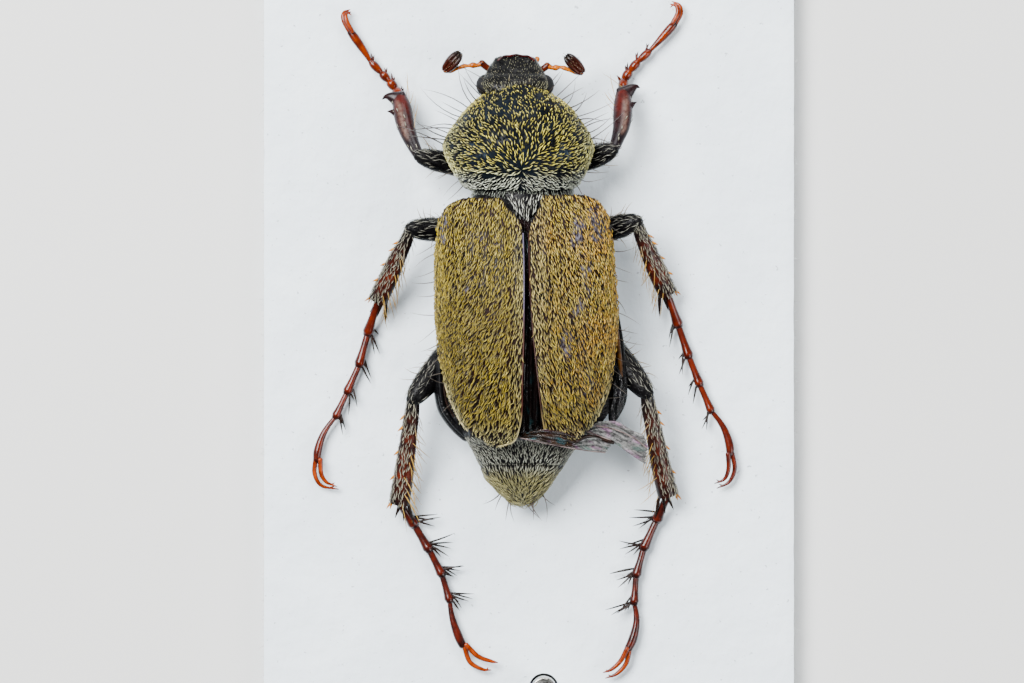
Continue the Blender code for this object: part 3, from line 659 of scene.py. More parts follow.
@dataclass(frozen=True)
class Horn:
    """Smooth amber to red-brown chitin: clear along the top, with painted shade on the flanks, and darker at the
    joint's end.
    """

    name: str
    light: Array
    dark: Array
    # Colour of the painted shade on the flanks, and of the dark ring at a joint's end.
    edge: Array
    roughness: float = 0.25
    ring: float = 0.0
    near: Array | None = None
    # A pale band along the front tibia's outer side: a painted highlight.
    painted_highlight: Array | None = None
    coat: float = 0.1

    def make(self) -> Material:
        """Mix the finish.

        Returns:
            Its material.
        """
        mix = Mixer(self.name)
        cloud = mix.ramp(mix.noise(0.16, 3.0), ((0.36, 0.0), (0.64, 1.0)))
        shade = mix.blend(cloud, self.dark, self.light)
        if self.near is not None:
            shade = mix.blend(mix.ramp(mix.amount("run"), ((0.25, 1.0), (0.7, 0.0))), shade, self.near)
        # Painted highlight along the front tibia's outer side, broken by mottling.
        if self.painted_highlight is not None:
            mottle = mix.ramp(mix.noise(0.07, 4.0), ((0.34, 0.25), (0.6, 1.0)))
            patch = mix.ramp(mix.amount("sheen_mask"), ((0.1, 0.0), (0.9, 0.95)))
            shade = mix.blend(mix.blend(1.0, patch, mottle, "MULTIPLY"), shade, self.painted_highlight)
        # Painted shade: the flanks of each round piece are darkened towards the edge colour.
        shade = mix.blend(mix.ramp(mix.amount("flank_shade"), ((0.5, 0.0), (0.95, 0.85))), shade, self.edge)
        if self.ring:
            end = mix.ramp(mix.amount("run"), ((0.82, 0.0), (0.92, self.ring)))
            shade = mix.blend(end, shade, self.edge * 0.35)
        normal = mix.bump(mix.noise(0.03, 3.0), 0.003)
        rough = mix.ramp(mix.noise(0.06), ((0.3, self.roughness * 0.7), (0.7, self.roughness * 1.4)))
        return mix.done(base_color=shade, roughness=rough, normal=normal, coat_weight=self.coat,
                        coat_roughness=0.1, specular_ior_level=0.15)


@dataclass(frozen=True)
class SetaGloss:
    """The setae's own finish, tinted by their colour attribute and darkened towards the root as painted shade.
    """

    name: str
    # How dark the painted shade leaves a seta at its root.
    root: float = 0.09
    roughness: float = 0.33

    def make(self) -> Material:
        """Mix the finish.

        Returns:
            Its material.
        """
        mix = Mixer(self.name)
        tint = mix.node("ShaderNodeAttribute", {}, attribute_name="tint").outputs["Color"]
        # Painted shade: each seta darkens from its root to past its middle, where the setae overlap.
        painted_root_shade = mix.ramp(mix.amount("along"), ((0.0, self.root), (0.2, self.root), (0.58, 1.0), (1.0, 1.0)))
        shade = mix.blend(1.0, tint, painted_root_shade, "MULTIPLY")
        shade = mix.blend(mix.ramp(mix.noise(0.05), ((0.35, 0.0), (0.7, 0.4))), shade, tone(50, 32, 8))
        return mix.done(base_color=shade, roughness=self.roughness)


@dataclass(frozen=True)
class Film:
    """The hind wing's membrane: thin, grey, with pink and green interference colours along its folds."""

    name: str
    light: Array
    dark: Array
    alpha: float
    turn: float
    pink: Array
    green: Array
    share: float

    def make(self) -> Material:
        """Mix the finish.

        Returns:
            Its material.
        """
        mix = Mixer(self.name)
        wide = mix.noise(0.3, 6.0, (0.6, 2.2, 1.0), self.turn)
        fine = mix.noise(0.08, 5.0, (0.6, 2.0, 1.0), self.turn)
        grey = mix.blend(mix.ramp(fine, ((0.3, 0.0), (0.66, 1.0))), self.dark, self.light)
        hues = mix.ramp(wide, ((0.36, self.green), (0.44, self.light), (0.54, self.light), (0.64, self.pink)))
        patch = mix.ramp(mix.noise(0.22, 3.0), ((0.4, 0.0), (0.6, self.share)))
        crinkle = mix.ramp(mix.noise(0.045, 3.0), ((0.36, 0.55), (0.6, 1.25)))
        shade = mix.blend(1.0, mix.blend(patch, grey, hues), crinkle, "MULTIPLY")
        folds = mix.bump(fine, 0.025, mix.bump(wide, 0.03))
        clear = mix.ramp(fine, ((0.3, self.alpha * 0.8), (0.7, min(1.0, self.alpha * 1.2))))
        return mix.done(base_color=shade, roughness=0.2, normal=folds, alpha=clear, coat_weight=0.15,
                        coat_roughness=0.08, specular_ior_level=0.25)


@dataclass(frozen=True)
class Rim:
    """A margin that changes colour along its length."""

    name: str
    front: Array
    middle: Array
    apex: Array

    def make(self) -> Material:
        """Mix the finish.

        Returns:
            Its material.
        """
        mix = Mixer(self.name)
        shade = mix.ramp(mix.amount("run"), ((0.0, self.front), (0.3, self.front), (0.45, self.middle),
                                             (0.78, self.middle), (0.86, self.apex)))
        shade = mix.blend(mix.ramp(mix.noise(0.05), ((0.4, 0.0), (0.7, 0.5))), shade, self.middle * 0.6)
        return mix.done(base_color=shade, roughness=0.3, normal=mix.bump(mix.noise(0.03), 0.003))


@dataclass(frozen=True)
class PaperFinish:
    """White mounting card, with fibres and faint mottling."""

    name: str
    light: Array
    shade: Array

    def make(self) -> Material:
        """Mix the finish.

        Returns:
            Its material.
        """
        mix = Mixer(self.name)
        cloud = mix.ramp(mix.noise(1.6, 4.0), ((0.3, 0.0), (0.75, 1.0)))
        colour = mix.blend(cloud, self.shade, self.light)
        specks = mix.ramp(mix.noise(0.09, 2.0), ((0.7, 0.0), (0.77, 0.7)))
        colour = mix.blend(specks, colour, self.shade * 0.4)
        fibres = mix.bump(mix.noise(0.12, 5.0, (1.0, 0.3, 1.0)), 0.01)
        normal = mix.bump(mix.noise(0.5, 4.0), 0.05, fibres)
        return mix.done(base_color=colour, roughness=0.85, normal=normal)


@dataclass(frozen=True)
class SteelFinish:
    """Drawn steel wire, dulled."""

    name: str

    def make(self) -> Material:
        """Mix the finish.

        Returns:
            Its material.
        """
        mix = Mixer(self.name)
        streaks = mix.noise(0.05, 3.0, (1.0, 1.0, 0.1))
        shade = mix.ramp(streaks, ((0.3, tone(120, 118, 112)), (0.7, tone(190, 188, 182))))
        rough = mix.ramp(streaks, ((0.3, 0.22), (0.7, 0.4)))
        normal = mix.bump(streaks, 0.004)
        return mix.done(base_color=shade, metallic=1.0, roughness=rough, normal=normal)


@dataclass(frozen=True)
class EyeFinish:
    """A compound eye: dark grey with fine facets."""

    name: str

    def make(self) -> Material:
        """Mix the finish.

        Returns:
            Its material.
        """
        mix = Mixer(self.name)
        facets = mix.bump(mix.pits(0.016, 0.6), 0.003)
        shade = mix.ramp(mix.noise(0.15), ((0.3, tone(9, 9, 11)), (0.7, tone(20, 20, 23))))
        return mix.done(base_color=shade, roughness=0.6, normal=facets, specular_ior_level=0.2)


class Palette:
    """Every finish of the model, made once."""

    def __init__(self) -> None:
        """Build the materials."""
        black = tone(3, 3, 4)
        # The paler colours on rubbed patches of the wing cases and the shield are partly painted sheen.
        self.case = Chitin("case_maroon_black", tone(26, 11, 9), tone(8, 4, 4), 0.36, 0.05, 0.01, shine=0.1,
                           wear_and_sheen=tone(92, 89, 100)).make()
        self.shield = Chitin("shield_blue_black", tone(13, 19, 25), tone(4, 6, 8), 0.26, 0.07, 0.016,
                             shine=0.04, wear_and_sheen=tone(40, 50, 60)).make()
        self.head = Chitin("head_black", tone(14, 14, 14), black, 0.3, 0.035, 0.03, 0.12, 0.1).make()
        self.lip = Horn("lip_dark_red", tone(58, 6, 6), tone(22, 5, 5), tone(14, 5, 5), 0.26).make()
        self.trunk = Chitin("trunk_black", tone(11, 11, 13), black, 0.3, 0.06, 0.006, shine=0.12).make()
        self.leg = Chitin("leg_black", tone(13, 12, 13), black, 0.3, 0.05, 0.008, shine=0.08).make()
        self.shin = Horn("shin_brown_black", tone(80, 26, 10), tone(30, 10, 7), tone(14, 8, 9), 0.3, 0.8,
                         near=tone(13, 8, 8)).make()
        # The front tibia's pale mauve streak is a painted highlight.
        self.front_shin = Horn("front_shin_wine", tone(64, 12, 7), tone(34, 5, 2), tone(26, 18, 22), 0.32,
                               near=tone(18, 12, 15), painted_highlight=tone(94, 74, 66), coat=0.06).make()
        toes = {
            Pair.HIND: ("toe_red", tone(72, 17, 5), tone(38, 9, 6), tone(20, 8, 9), 0.2, 0.7),
            Pair.MIDDLE: ("middle_toe_red", tone(86, 21, 2), tone(54, 10, 3), tone(30, 10, 10), 0.2, 0.7),
            Pair.FRONT: ("front_toe_orange", tone(108, 34, 0), tone(60, 10, 0), tone(40, 16, 20), 0.2, 0.8)}
        self.toes = {pair: Horn(*values, coat=0.22).make() for pair, values in toes.items()}
        self.claw = Horn("claw_amber", tone(134, 48, 0), tone(84, 22, 2), tone(42, 12, 10), 0.18).make()
        self.spur = Horn("spur_orange", tone(190, 124, 0), tone(172, 102, 0), tone(130, 66, 0), 0.3).make()
        self.spine = Horn("spine_black", tone(30, 15, 9), tone(13, 8, 6), tone(8, 5, 4), 0.3).make()
        self.feeler = Horn("feeler_orange", tone(162, 86, 0), tone(122, 52, 0), tone(56, 20, 0), 0.2).make()
        self.scape = Horn("scape_red_brown", tone(76, 18, 0), tone(34, 8, 4), tone(20, 7, 6), 0.2).make()
        self.club = Horn("club_dark_brown", tone(24, 15, 12), tone(10, 8, 8), tone(9, 8, 9), 0.24,
                         near=tone(50, 14, 5)).make()
        self.amber = Horn("side_amber", tone(96, 58, 8), tone(44, 24, 4), tone(20, 12, 6), 0.3).make()
        left = Rim("rim_lavender_cream", tone(96, 92, 112), tone(66, 26, 18), tone(190, 176, 124))
        right = Rim("rim_maroon_cream", tone(44, 20, 20), tone(50, 24, 18), tone(150, 130, 80))
        self.rims = {Side.LEFT: left.make(), Side.RIGHT: right.make()}
        self.eye = EyeFinish("eye_grey").make()
        self.seta = SetaGloss("seta_gloss").make()
        self.bristle = SetaGloss("bristle_gloss", 0.9, 0.45).make()
        self.film = Film("wing_film", tone(112, 112, 110), tone(44, 42, 44), 0.98, 28.0, tone(128, 60, 118),
                         tone(40, 92, 80), 0.45).make()
        self.brown_film = Film("wing_film_brown", tone(46, 30, 20), tone(10, 7, 6), 0.85, 14.0,
                               tone(76, 40, 84), tone(24, 76, 84), 0.7).make()
        self.fold = Film("wing_fold_black", tone(9, 9, 10), black, 1.0, 80.0, tone(40, 36, 42),
                         tone(30, 38, 40), 0.6).make()
        self.pleat = Film("wing_pleat_dark", tone(12, 6, 6), tone(4, 3, 3), 1.0, 80.0, tone(34, 8, 7),
                          tone(18, 58, 62), 0.4).make()
        self.vein = Horn("wing_vein", tone(126, 112, 108), tone(60, 44, 46), tone(40, 30, 32), 0.3).make()
        self.card = PaperFinish("white_card", tone(236, 246, 252), tone(221, 232, 240)).make()
        self.steel = SteelFinish("pin_steel").make()


@dataclass
class Part:
    """A sub-assembly, with its finishes and its own random draw."""

    palette: Palette
    rng: Draw

    def put(self, name: str, sheet: Sheet, finish: Material, slot: str, *nodes: str,
            wall: float = 0.0) -> None:
        """Shape the skin of one sheet, dress it and name the nodes that it replaces."""
        Bench.finish(Bench.skin(name, sheet, wall), finish, slot, *nodes)

    def grow(self, name: str, seta: Seta, roots: Roots, ways: Array, tints: Array, slot: str,
             lengths: Array | float = 1.0, stiff: bool = False) -> None:
        """Grow one coat and dress it, stiff ones as bristles, even in colour from root to tip."""
        coat = seta.grow(name, roots, ways, tints, self.rng, lengths)
        Bench.finish(coat, self.palette.bristle if stiff else self.palette.seta, slot)

    def spike(self, root: Array, way: Array, length: float, radius: float, bend: float = 0.0) -> Piece:
        """One tapered spine.

        Args:
            root: Where it stands.
            way: Where it points.
            length: Its length.
            radius: Its radius near the root.
            bend: How far its tip curves sideways, as a share of its length.

        Returns:
            The spine, not dressed.
        """
        way = unit(way)
        aside = turned(way) * bend
        path = [(*(root + (way * share + aside * share ** 2) * length), radius * size)
                for share, size in ((-0.1, 0.9), (0.3, 1.0), (0.7, 0.66), (1.0, 0.12))]
        return Bench.skin("spike", bar(path, 8, 9))


def wear_and_sheen(spots: Array, patches: Table, seed: float) -> Array:
    """How much of the coat is rubbed off at each spot, which also places the paler colour that is partly painted
    sheen.

    Args:
        spots: Points on the skin.
        patches: Worn places, as (x, y, half width, half length, share).
        seed: Which of the noises breaks their outlines.

    Returns:
        Values from 0 to 1.
    """
    area = np.zeros(len(spots))
    for x, y, wide, long, share in patches:
        reach = ((spots[:, 0] - x) / wide) ** 2 + ((spots[:, 1] - y) / long) ** 2
        area = np.maximum(area, share * np.exp(-reach))
    return np.clip(area * (0.7 + 1.1 * grain(spots, 0.13, seed)), 0, 1)


@dataclass(frozen=True)
class Back:
    """The dome of the back that both wing cases lie on, by y."""

    margin: Line = Line(((-1.7, 2.0), (-1.2, 2.02), (-0.4, 1.9), (1.0, 1.85), (3.0, 1.88), (4.1, 2.05)))
    ridge: Line = Line(((-1.4, 2.22), (-1.0, 2.6), (-0.4, 3.0), (0.4, 3.3), (1.6, 3.45), (2.8, 3.32),
        (3.6, 3.02), (4.1, 2.74)))
    half: Line = Line(((-1.4, 1.3), (-1.0, 1.46), (-0.4, 1.68), (0.4, 1.84), (1.4, 1.93), (2.8, 1.92),
        (3.6, 1.86), (4.1, 1.78)))
    centre: Line = Line(((-1.4, -0.06), (1.5, -0.05), (4.1, -0.14)))
    roundness: float = 2.5

    def level(self, x: Array, y: Array) -> Array:
        """Height of the back over points of the plan."""
        share, margin = np.clip(np.abs(x - self.centre.at(y)) / self.half.at(y), 0, 1), self.margin.at(y)
        return margin + (self.ridge.at(y) - margin) * np.sqrt(1 - share ** self.roundness)


@dataclass
class WingCase(Part):
    """One elytron: its skin, its margin's rim and its coat."""

    side: Side
    inner: Line
    outer: Line
    rubbed: Table
    back: Back = Back()
    rows: int = 130
    columns: int = 56
    wall: float = 0.09
    inset: float = 0.035
    density: float = 450.0
    seta: Seta = Seta(0.125, 0.022, rise=0.26, sway=0.2, thin=0.75, uneven=0.25, shades=(0.4, 1.6))
    rib_height: float = 0.014
    knob: tuple[float, float, float] = (1.42, 3.52, 0.07)
    rim_radii: tuple[float, float] = (0.015, 0.026)
    edge_radii: tuple[float, float] = (0.02, 0.03)
    apex_run: float = 0.95
    bristles: int = 13

    @property
    def name(self) -> str:
        """The side, as in the pieces' names."""
        return self.side.name.lower()

    def sheet(self) -> Sheet:
        """The outer face, with faint ribs and a knob at the shoulder.

        Returns:
            An open sheet from the suture to the side margin.
        """
        side = self.side.value
        low, high = self.inner.points[0][0] + 0.02, self.inner.points[-1][0] - 0.02
        share = np.linspace(0, 1, self.rows)
        y = low + (high - low) * (0.4 * share + 0.6 * (1 - np.cos(pi * share)) / 2)
        near, far = self.inner.at(y) + side * 0.01, self.outer.at(y) - side * self.inset
        across = np.sin(pi / 2 * np.linspace(0, 1, self.columns))
        x = near[:, None] + (far - near)[:, None] * across[None]
        deep = np.repeat(y[:, None], self.columns, axis=1)
        spots = np.stack((x, deep, x * 0), axis=-1).reshape(-1, 3)
        z = self.back.level(spots[:, 0], spots[:, 1]).reshape(x.shape) - 0.02
        ribs = np.cos(across * pi * 9) * self.rib_height
        ribs = ribs * step_up(across, 0.05, 0.15) * step_up(across, 0.95, 0.8)
        out, along, high = self.knob
        knob = high * np.exp(-(((x - side * out) / 0.2) ** 2 + ((deep - along) / 0.22) ** 2))
        z = z + ribs[None] * step_up(share, 0.0, 0.06)[:, None]
        z = z + grain(spots, 0.45, side).reshape(x.shape) * 0.014
        return Sheet(vectors(x, deep, z + knob))

    def keep(self, spots: Array, places: Array) -> Array:
        """Share of the setae that are left.

        Args:
            spots: Points on the skin.
            places: Their places on its unwrap.

        Returns:
            Shares from 0 to 1.
        """
        bare = np.where(grain(spots, 0.13, 2.0 + self.side.value) > 0.55, 0.3, 1.0)
        long = 0.95 - 0.33 * step_up(spots[:, 1], 1.6, -0.4)
        return bare * long * (1 - 0.92 * wear_and_sheen(spots, self.rubbed, 3.0)) * step_up(places[:, 0], 0.001, 0.006)

    def lie(self, roots: Roots) -> Array:
        """Where the coat points: backwards, fanned outwards from the suture.

        Args:
            roots: The setae's roots.

        Returns:
            Their directions.
        """
        side, (x, y) = self.side.value, roots.points[:, :2].T
        across = np.clip(np.abs(x) / 1.9, 0, 1)
        if self.side is Side.LEFT:
            out = 0.06 + 0.3 * across + 0.9 * across * step_up(y, 3.2, 1.2)
            out = out - 0.5 * across * step_up(y, 0.0, -1.0)
        else:
            out = 0.1 + 0.45 * across + 0.15 * step_up(y, 1.5, 0.0)
        out = out + 0.2 * grain(roots.points, 0.5, 5.0 + side) + self.rng.normal(0, 0.08, len(x))
        return vectors(side * out, -1.0)

    def tints(self, roots: Roots) -> Array:
        """Colours of the setae: olive gold on the left, richer gold on the right, cream at the apex.

        Args:
            roots: The setae's roots.

        Returns:
            Their linear colours.
        """
        x, y = roots.points[:, :2].T
        left, gold, cream = self.side is Side.LEFT, tone(170, 147, 42), tone(192, 184, 128)
        plain, deep = (tone(154, 134, 16), gold) if left else (gold, tone(188, 139, 26))
        rich = step_up(grain(roots.points, 0.7, 9.0), -0.2, 0.5) * (0.5 if left else 0.6)
        edge = step_up(np.abs(x), 0.7, 1.7) * step_up(y, -0.6, 0.8)
        rich = np.clip(rich + edge * 0.4 + self.rng.normal(0, 0.3, len(x)), 0, 1)[:, None]
        colour = plain * (1 - rich) + deep * rich
        pale = np.maximum(step_up(y, -0.45, -1.1) * 0.8, step_up(np.abs(x), 0.5, 0.15) * 0.5)
        brink = step_up(np.abs(self.outer.at(y)) - np.abs(x), 0.25, 0.05) * step_up(y, 0.8, -0.3)
        pale = np.maximum(pale, brink * 0.95)
        pale = np.maximum(pale, self.rng.random(len(x)) ** 2 * (0.35 if left else 0.42))[:, None]
        return colour * (1 - pale) + cream * pale

    def rim(self) -> Sheet:
        """The raised margin, along the suture and round the apex.

        Returns:
            A bar from the shoulder to the apex.
        """
        low, outer = self.outer.points[0]
        spots = [(float(self.inner.at(y)), y) for y in np.linspace(3.2, low + 0.12, 14)]
        spots += [(self.inner.points[0][1] * 0.6 + outer * 0.4, low + 0.015)]
        levels = self.back.level(*np.array(spots).T) - 0.012
        return bar([(*spot, level, *self.rim_radii) for spot, level in zip(spots, levels)], 150, 10)

    def edge(self) -> Sheet:
        """The pale outer margin.

        Returns:
            A bar from beside the apex up to the hind knee's level.
        """
        y = np.linspace(self.outer.points[0][0] + 0.05, 0.1, 16)
        x = self.outer.at(y) + self.side.value * 0.012
        return bar([(*spot, *self.edge_radii) for spot in zip(x, y, self.back.margin.at(y) - 0.01)], 60, 10)

    def build(self) -> None:
        """Make the skin, the rim and the coat."""
        slot, rim, sheet = "wing_case_ochre", self.palette.rims[self.side], self.sheet()
        shell = Bench.skin(f"wing_case_{self.name}", sheet, self.wall)
        # Marks the rubbed patches, whose paler colour is partly painted sheen.
        Bench.paint(shell, "sheen_mask", lambda spots: wear_and_sheen(spots, self.rubbed, 3.0))
        Bench.finish(shell, self.palette.case, slot, f"elytron_{self.name}")
        self.put(f"wing_case_rim_{self.name}", self.rim(), rim, slot)
        edge = Bench.skin(f"wing_case_edge_{self.name}", self.edge())
        Bench.paint(edge, "run", lambda spots: np.full(len(spots), self.apex_run))
        Bench.finish(edge, rim, slot)
        roots = sheet.scatter(self.density, self.rng, self.keep)
        y = roots.points[:, 1]
        self.grow(f"wing_case_coat_{self.name}", self.seta, roots, self.lie(roots), self.tints(roots), slot,
                  1 + 0.35 * step_up(y, 1.2, -0.4) - 0.6 * step_up(y, -0.6, -1.1))
        count, draw = self.bristles, self.rng.uniform
        y = np.linspace(-0.2, 3.4, count) + draw(-0.08, 0.08, count)
        x = self.outer.at(y) - self.side.value * 0.06
        ways = vectors(self.side.value, draw(-1.0, -0.1, count), draw(-0.1, 0.2, count))
        self.grow(f"wing_case_bristles_{self.name}", HAIR, standing(x, y, 1.92), ways, HAIR_TONE, slot,
                  draw(0.6, 1.2, count), True)


@dataclass
class Shield(Part):
    """The prothorax: its skin, its radiating coat, the white band along its base and its bristles."""

    left: Line = Line(((4.1, -1.16), (4.2, -1.36), (4.38, -1.51), (4.7, -1.7), (5.02, -1.81),
        (5.23, -1.74), (5.5, -1.57), (5.9, -1.24), (6.08, -1.02), (6.18, -0.86), (6.29, -0.62)))
    right: Line = Line(((4.1, 0.86), (4.2, 1.0), (4.38, 1.15), (4.7, 1.28), (5.02, 1.37), (5.23, 1.3),
        (5.5, 1.14), (5.9, 0.82), (6.08, 0.56), (6.18, 0.4), (6.29, 0.2)))
    top: Line = Line(((4.1, 2.7), (4.4, 2.89), (4.9, 3.0), (5.4, 2.93), (5.9, 2.64), (6.29, 2.28)))
    edge: Line = Line(((4.1, 1.95), (5.0, 1.8), (6.29, 1.74)))
    floor: Line = Line(((4.1, 0.8), (4.6, 0.72), (5.4, 0.95), (6.29, 1.2)))
    whorl: tuple[float, float] = (-0.16, 4.52)
    dents: Table = ((-1.12, 4.95), (0.74, 4.95))
    rubbed: Table = ((-1.1, 4.92, 0.26, 0.15, 0.8), (0.72, 4.88, 0.26, 0.17, 0.8),
                     (-0.17, 5.05, 0.045, 0.4, 0.65), (-0.95, 5.5, 0.2, 0.3, 0.3))
    inset: float = 0.045
    rows: int = 90
    columns: int = 121
    density: float = 390.0
    seta: Seta = Seta(0.112, 0.0205, rise=0.24, sway=0.25, thin=0.75, uneven=0.35, shades=(0.4, 1.6))

    def sheet(self) -> Sheet:
        """The outer face.

        Returns:
            A rolled sheet from the base to the front margin.
        """
        share = (1 - np.cos(pi * np.linspace(0, 1, self.rows))) / 2
        y = self.left.points[0][0] + (self.left.points[-1][0] - self.left.points[0][0]) * share
        left, right = self.left.at(y) + self.inset, self.right.at(y) - self.inset
        middle, half = (left + right) / 2, (right - left) / 2
        turn = np.linspace(0, 2 * pi, self.columns)
        rise, upper = np.sin(turn), np.sin(turn)[None] > 0
        top, edge, floor = (line.at(y)[:, None] for line in (self.top, self.edge, self.floor))
        z = edge + np.where(upper, top - edge, edge - floor) * np.sign(rise)[None] * np.abs(rise)[None] ** 0.9
        x = middle[:, None] + half[:, None] * np.cos(turn)[None]
        sheet = Sheet.tube(x, y, z)
        sheet.roughen(0.5, 4.0, 0.02)
        height = sheet.points[..., 2]
        height -= 0.03 * np.exp(-((x - self.whorl[0]) / 0.1) ** 2) * upper
        for spot, place in self.dents:
            height -= 0.05 * np.exp(-(((x - spot) / 0.22) ** 2 + ((y[:, None] - place) / 0.16) ** 2)) * upper
        return sheet.close()

    def keep(self, spots: Array, places: Array) -> Array:
        """Share of the setae that are left.

        Args:
            spots: Points on the skin.
            places: Their places on its unwrap.

        Returns:
            Shares from 0 to 1, least on the rubbed discs and the midline.
        """
        x, y, z = spots.T
        share = 0.5 + 0.32 * step_up(np.abs(x - self.whorl[0]), 0.5, 1.3) - 0.15 * step_up(y, 5.4, 5.8)
        share = share * (1 - 0.9 * wear_and_sheen(spots, self.rubbed, 5.0))
        share = np.where(grain(spots, 0.12, 6.0) > 0.2, share * 0.3, share)
        return np.where(y < 4.36, 1.0, share) * step_up(z, 1.2, 1.5) * step_up(y, 4.12, 4.15)

    def lie(self, roots: Roots) -> Array:
        """Where the coat points.

        Args:
            roots: The setae's roots.

        Returns:
            Directions away from the whorl near the base, with swirls over the disc.
        """
        x, y = roots.points[:, 0] - self.whorl[0], roots.points[:, 1] - self.whorl[1]
        front, base = step_up(y, 0.9, 1.5)[:, None] * 0.6, step_up(y, 0.0, -0.25)[:, None]
        ways = unit(np.stack((x, y * 0.9), axis=1)) * (1 - front) + np.array((0.0, 1.0)) * front
        out, ahead = (ways * (1 - base) + vectors(np.sign(x) * 0.9 + x * 0.3, -1.0)[:, :2] * base).T
        spin = 0.55 * grain(roots.points, 0.45, 7.0) * (1 - base[:, 0])
        return vectors(out * np.cos(spin) - ahead * np.sin(spin), out * np.sin(spin) + ahead * np.cos(spin))

    def tints(self, roots: Roots) -> Array:
        """Golden yellow on the disc, cream at the sides and white at the base.

        Args:
            roots: The setae's roots.

        Returns:
            Their linear colours.
        """
        x, y = roots.points[:, :2].T
        gold, cream, white = tone(200, 186, 66), tone(198, 198, 134), tone(206, 212, 192)
        side = step_up(np.abs(x - self.whorl[0]), 0.9, 1.5)
        pale = np.maximum(step_up(y, 4.75, 4.4), side * 0.8) + self.rng.uniform(-0.25, 0.35, len(x))
        pale, base = np.clip(pale, 0, 1)[:, None], step_up(y, 4.56, 4.28)[:, None]
        return (gold * (1 - pale) + cream * pale) * (1 - base) + white * base

    def bristles(self, side: Side) -> None:
        """The long bristles of one side margin, beside the eye and at the base's corner.

        Args:
            side: Which margin.
        """
        edge, name, draw = self.left if side is Side.LEFT else self.right, side.name.lower(), self.rng.uniform
        count, slot = 15, "shield_blue_black"
        y = np.linspace(5.05, 6.22, count) + draw(-0.03, 0.03, count)
        x = edge.at(y) - side.value * 0.07
        z = self.edge.at(y) + draw(-0.15, 0.25, count)
        lean = draw(0.0, 0.6, count) + 0.5 * step_up(y, 5.4, 6.1)
        ways = vectors(side.value, lean, draw(-0.1, 0.2, count))
        self.grow(f"shield_bristles_{name}", BRISTLE, standing(x, y, z), ways, tone(40, 30, 26), slot,
                  draw(0.7, 1.4, count), True)
        y = np.array((4.24, 4.34, 4.5))
        roots = standing(edge.at(y) - side.value * 0.07, y, 1.9)
        ways = vectors(side.value, (-1.2, -0.6, -0.2))
        self.grow(f"shield_hairs_{name}", HAIR, roots, ways, HAIR_TONE, slot, stiff=True)

    def build(self) -> None:
        """Make the skin, the coat and the bristles."""
        sheet = self.sheet()
        skin = Bench.skin("shield", sheet)
        # Marks the rubbed patches, whose paler colour is partly painted sheen.
        Bench.paint(skin, "sheen_mask", lambda spots: wear_and_sheen(spots, self.rubbed, 5.0))
        Bench.finish(skin, self.palette.shield, "shield_blue_black", "prothorax")
        roots = sheet.scatter(self.density, self.rng, self.keep)
        self.grow("shield_coat", self.seta, roots, self.lie(roots), self.tints(roots), "shield_blue_black",
                  1 - 0.35 * step_up(roots.points[:, 1], 5.2, 5.9))
        for side in Side:
            self.bristles(side)


HAIR_TONE = tone(84, 76, 66)
HAIR = Seta(0.48, 0.017, rise=0.3, start=0.6, back=0.0, thin=0.8, uneven=0.1, sway=0.35, shades=(0.8, 1.2),
            rings=((0.0, 1.0), (0.25, 0.95), (0.5, 0.8), (0.75, 0.5), (1.0, 0.12)))
BRISTLE = Seta(0.72, 0.024, rise=0.3, start=0.6, back=0.0, thin=0.8, uneven=0.1, sway=0.3, shades=(0.8, 1.2),
               rings=((0.0, 1.0), (0.2, 0.95), (0.4, 0.85), (0.6, 0.68), (0.8, 0.45), (1.0, 0.12)))


def standing(x: Array, y: Array, z: Array | float) -> Roots:
    """Roots of single bristles, with a patch of the unwrap for each."""
    places = vectors(np.linspace(0.05, 0.95, len(x)), 0.5)[:, :2]
    return Roots(vectors(x, y, z), np.tile(UP, (len(x), 1)), places)


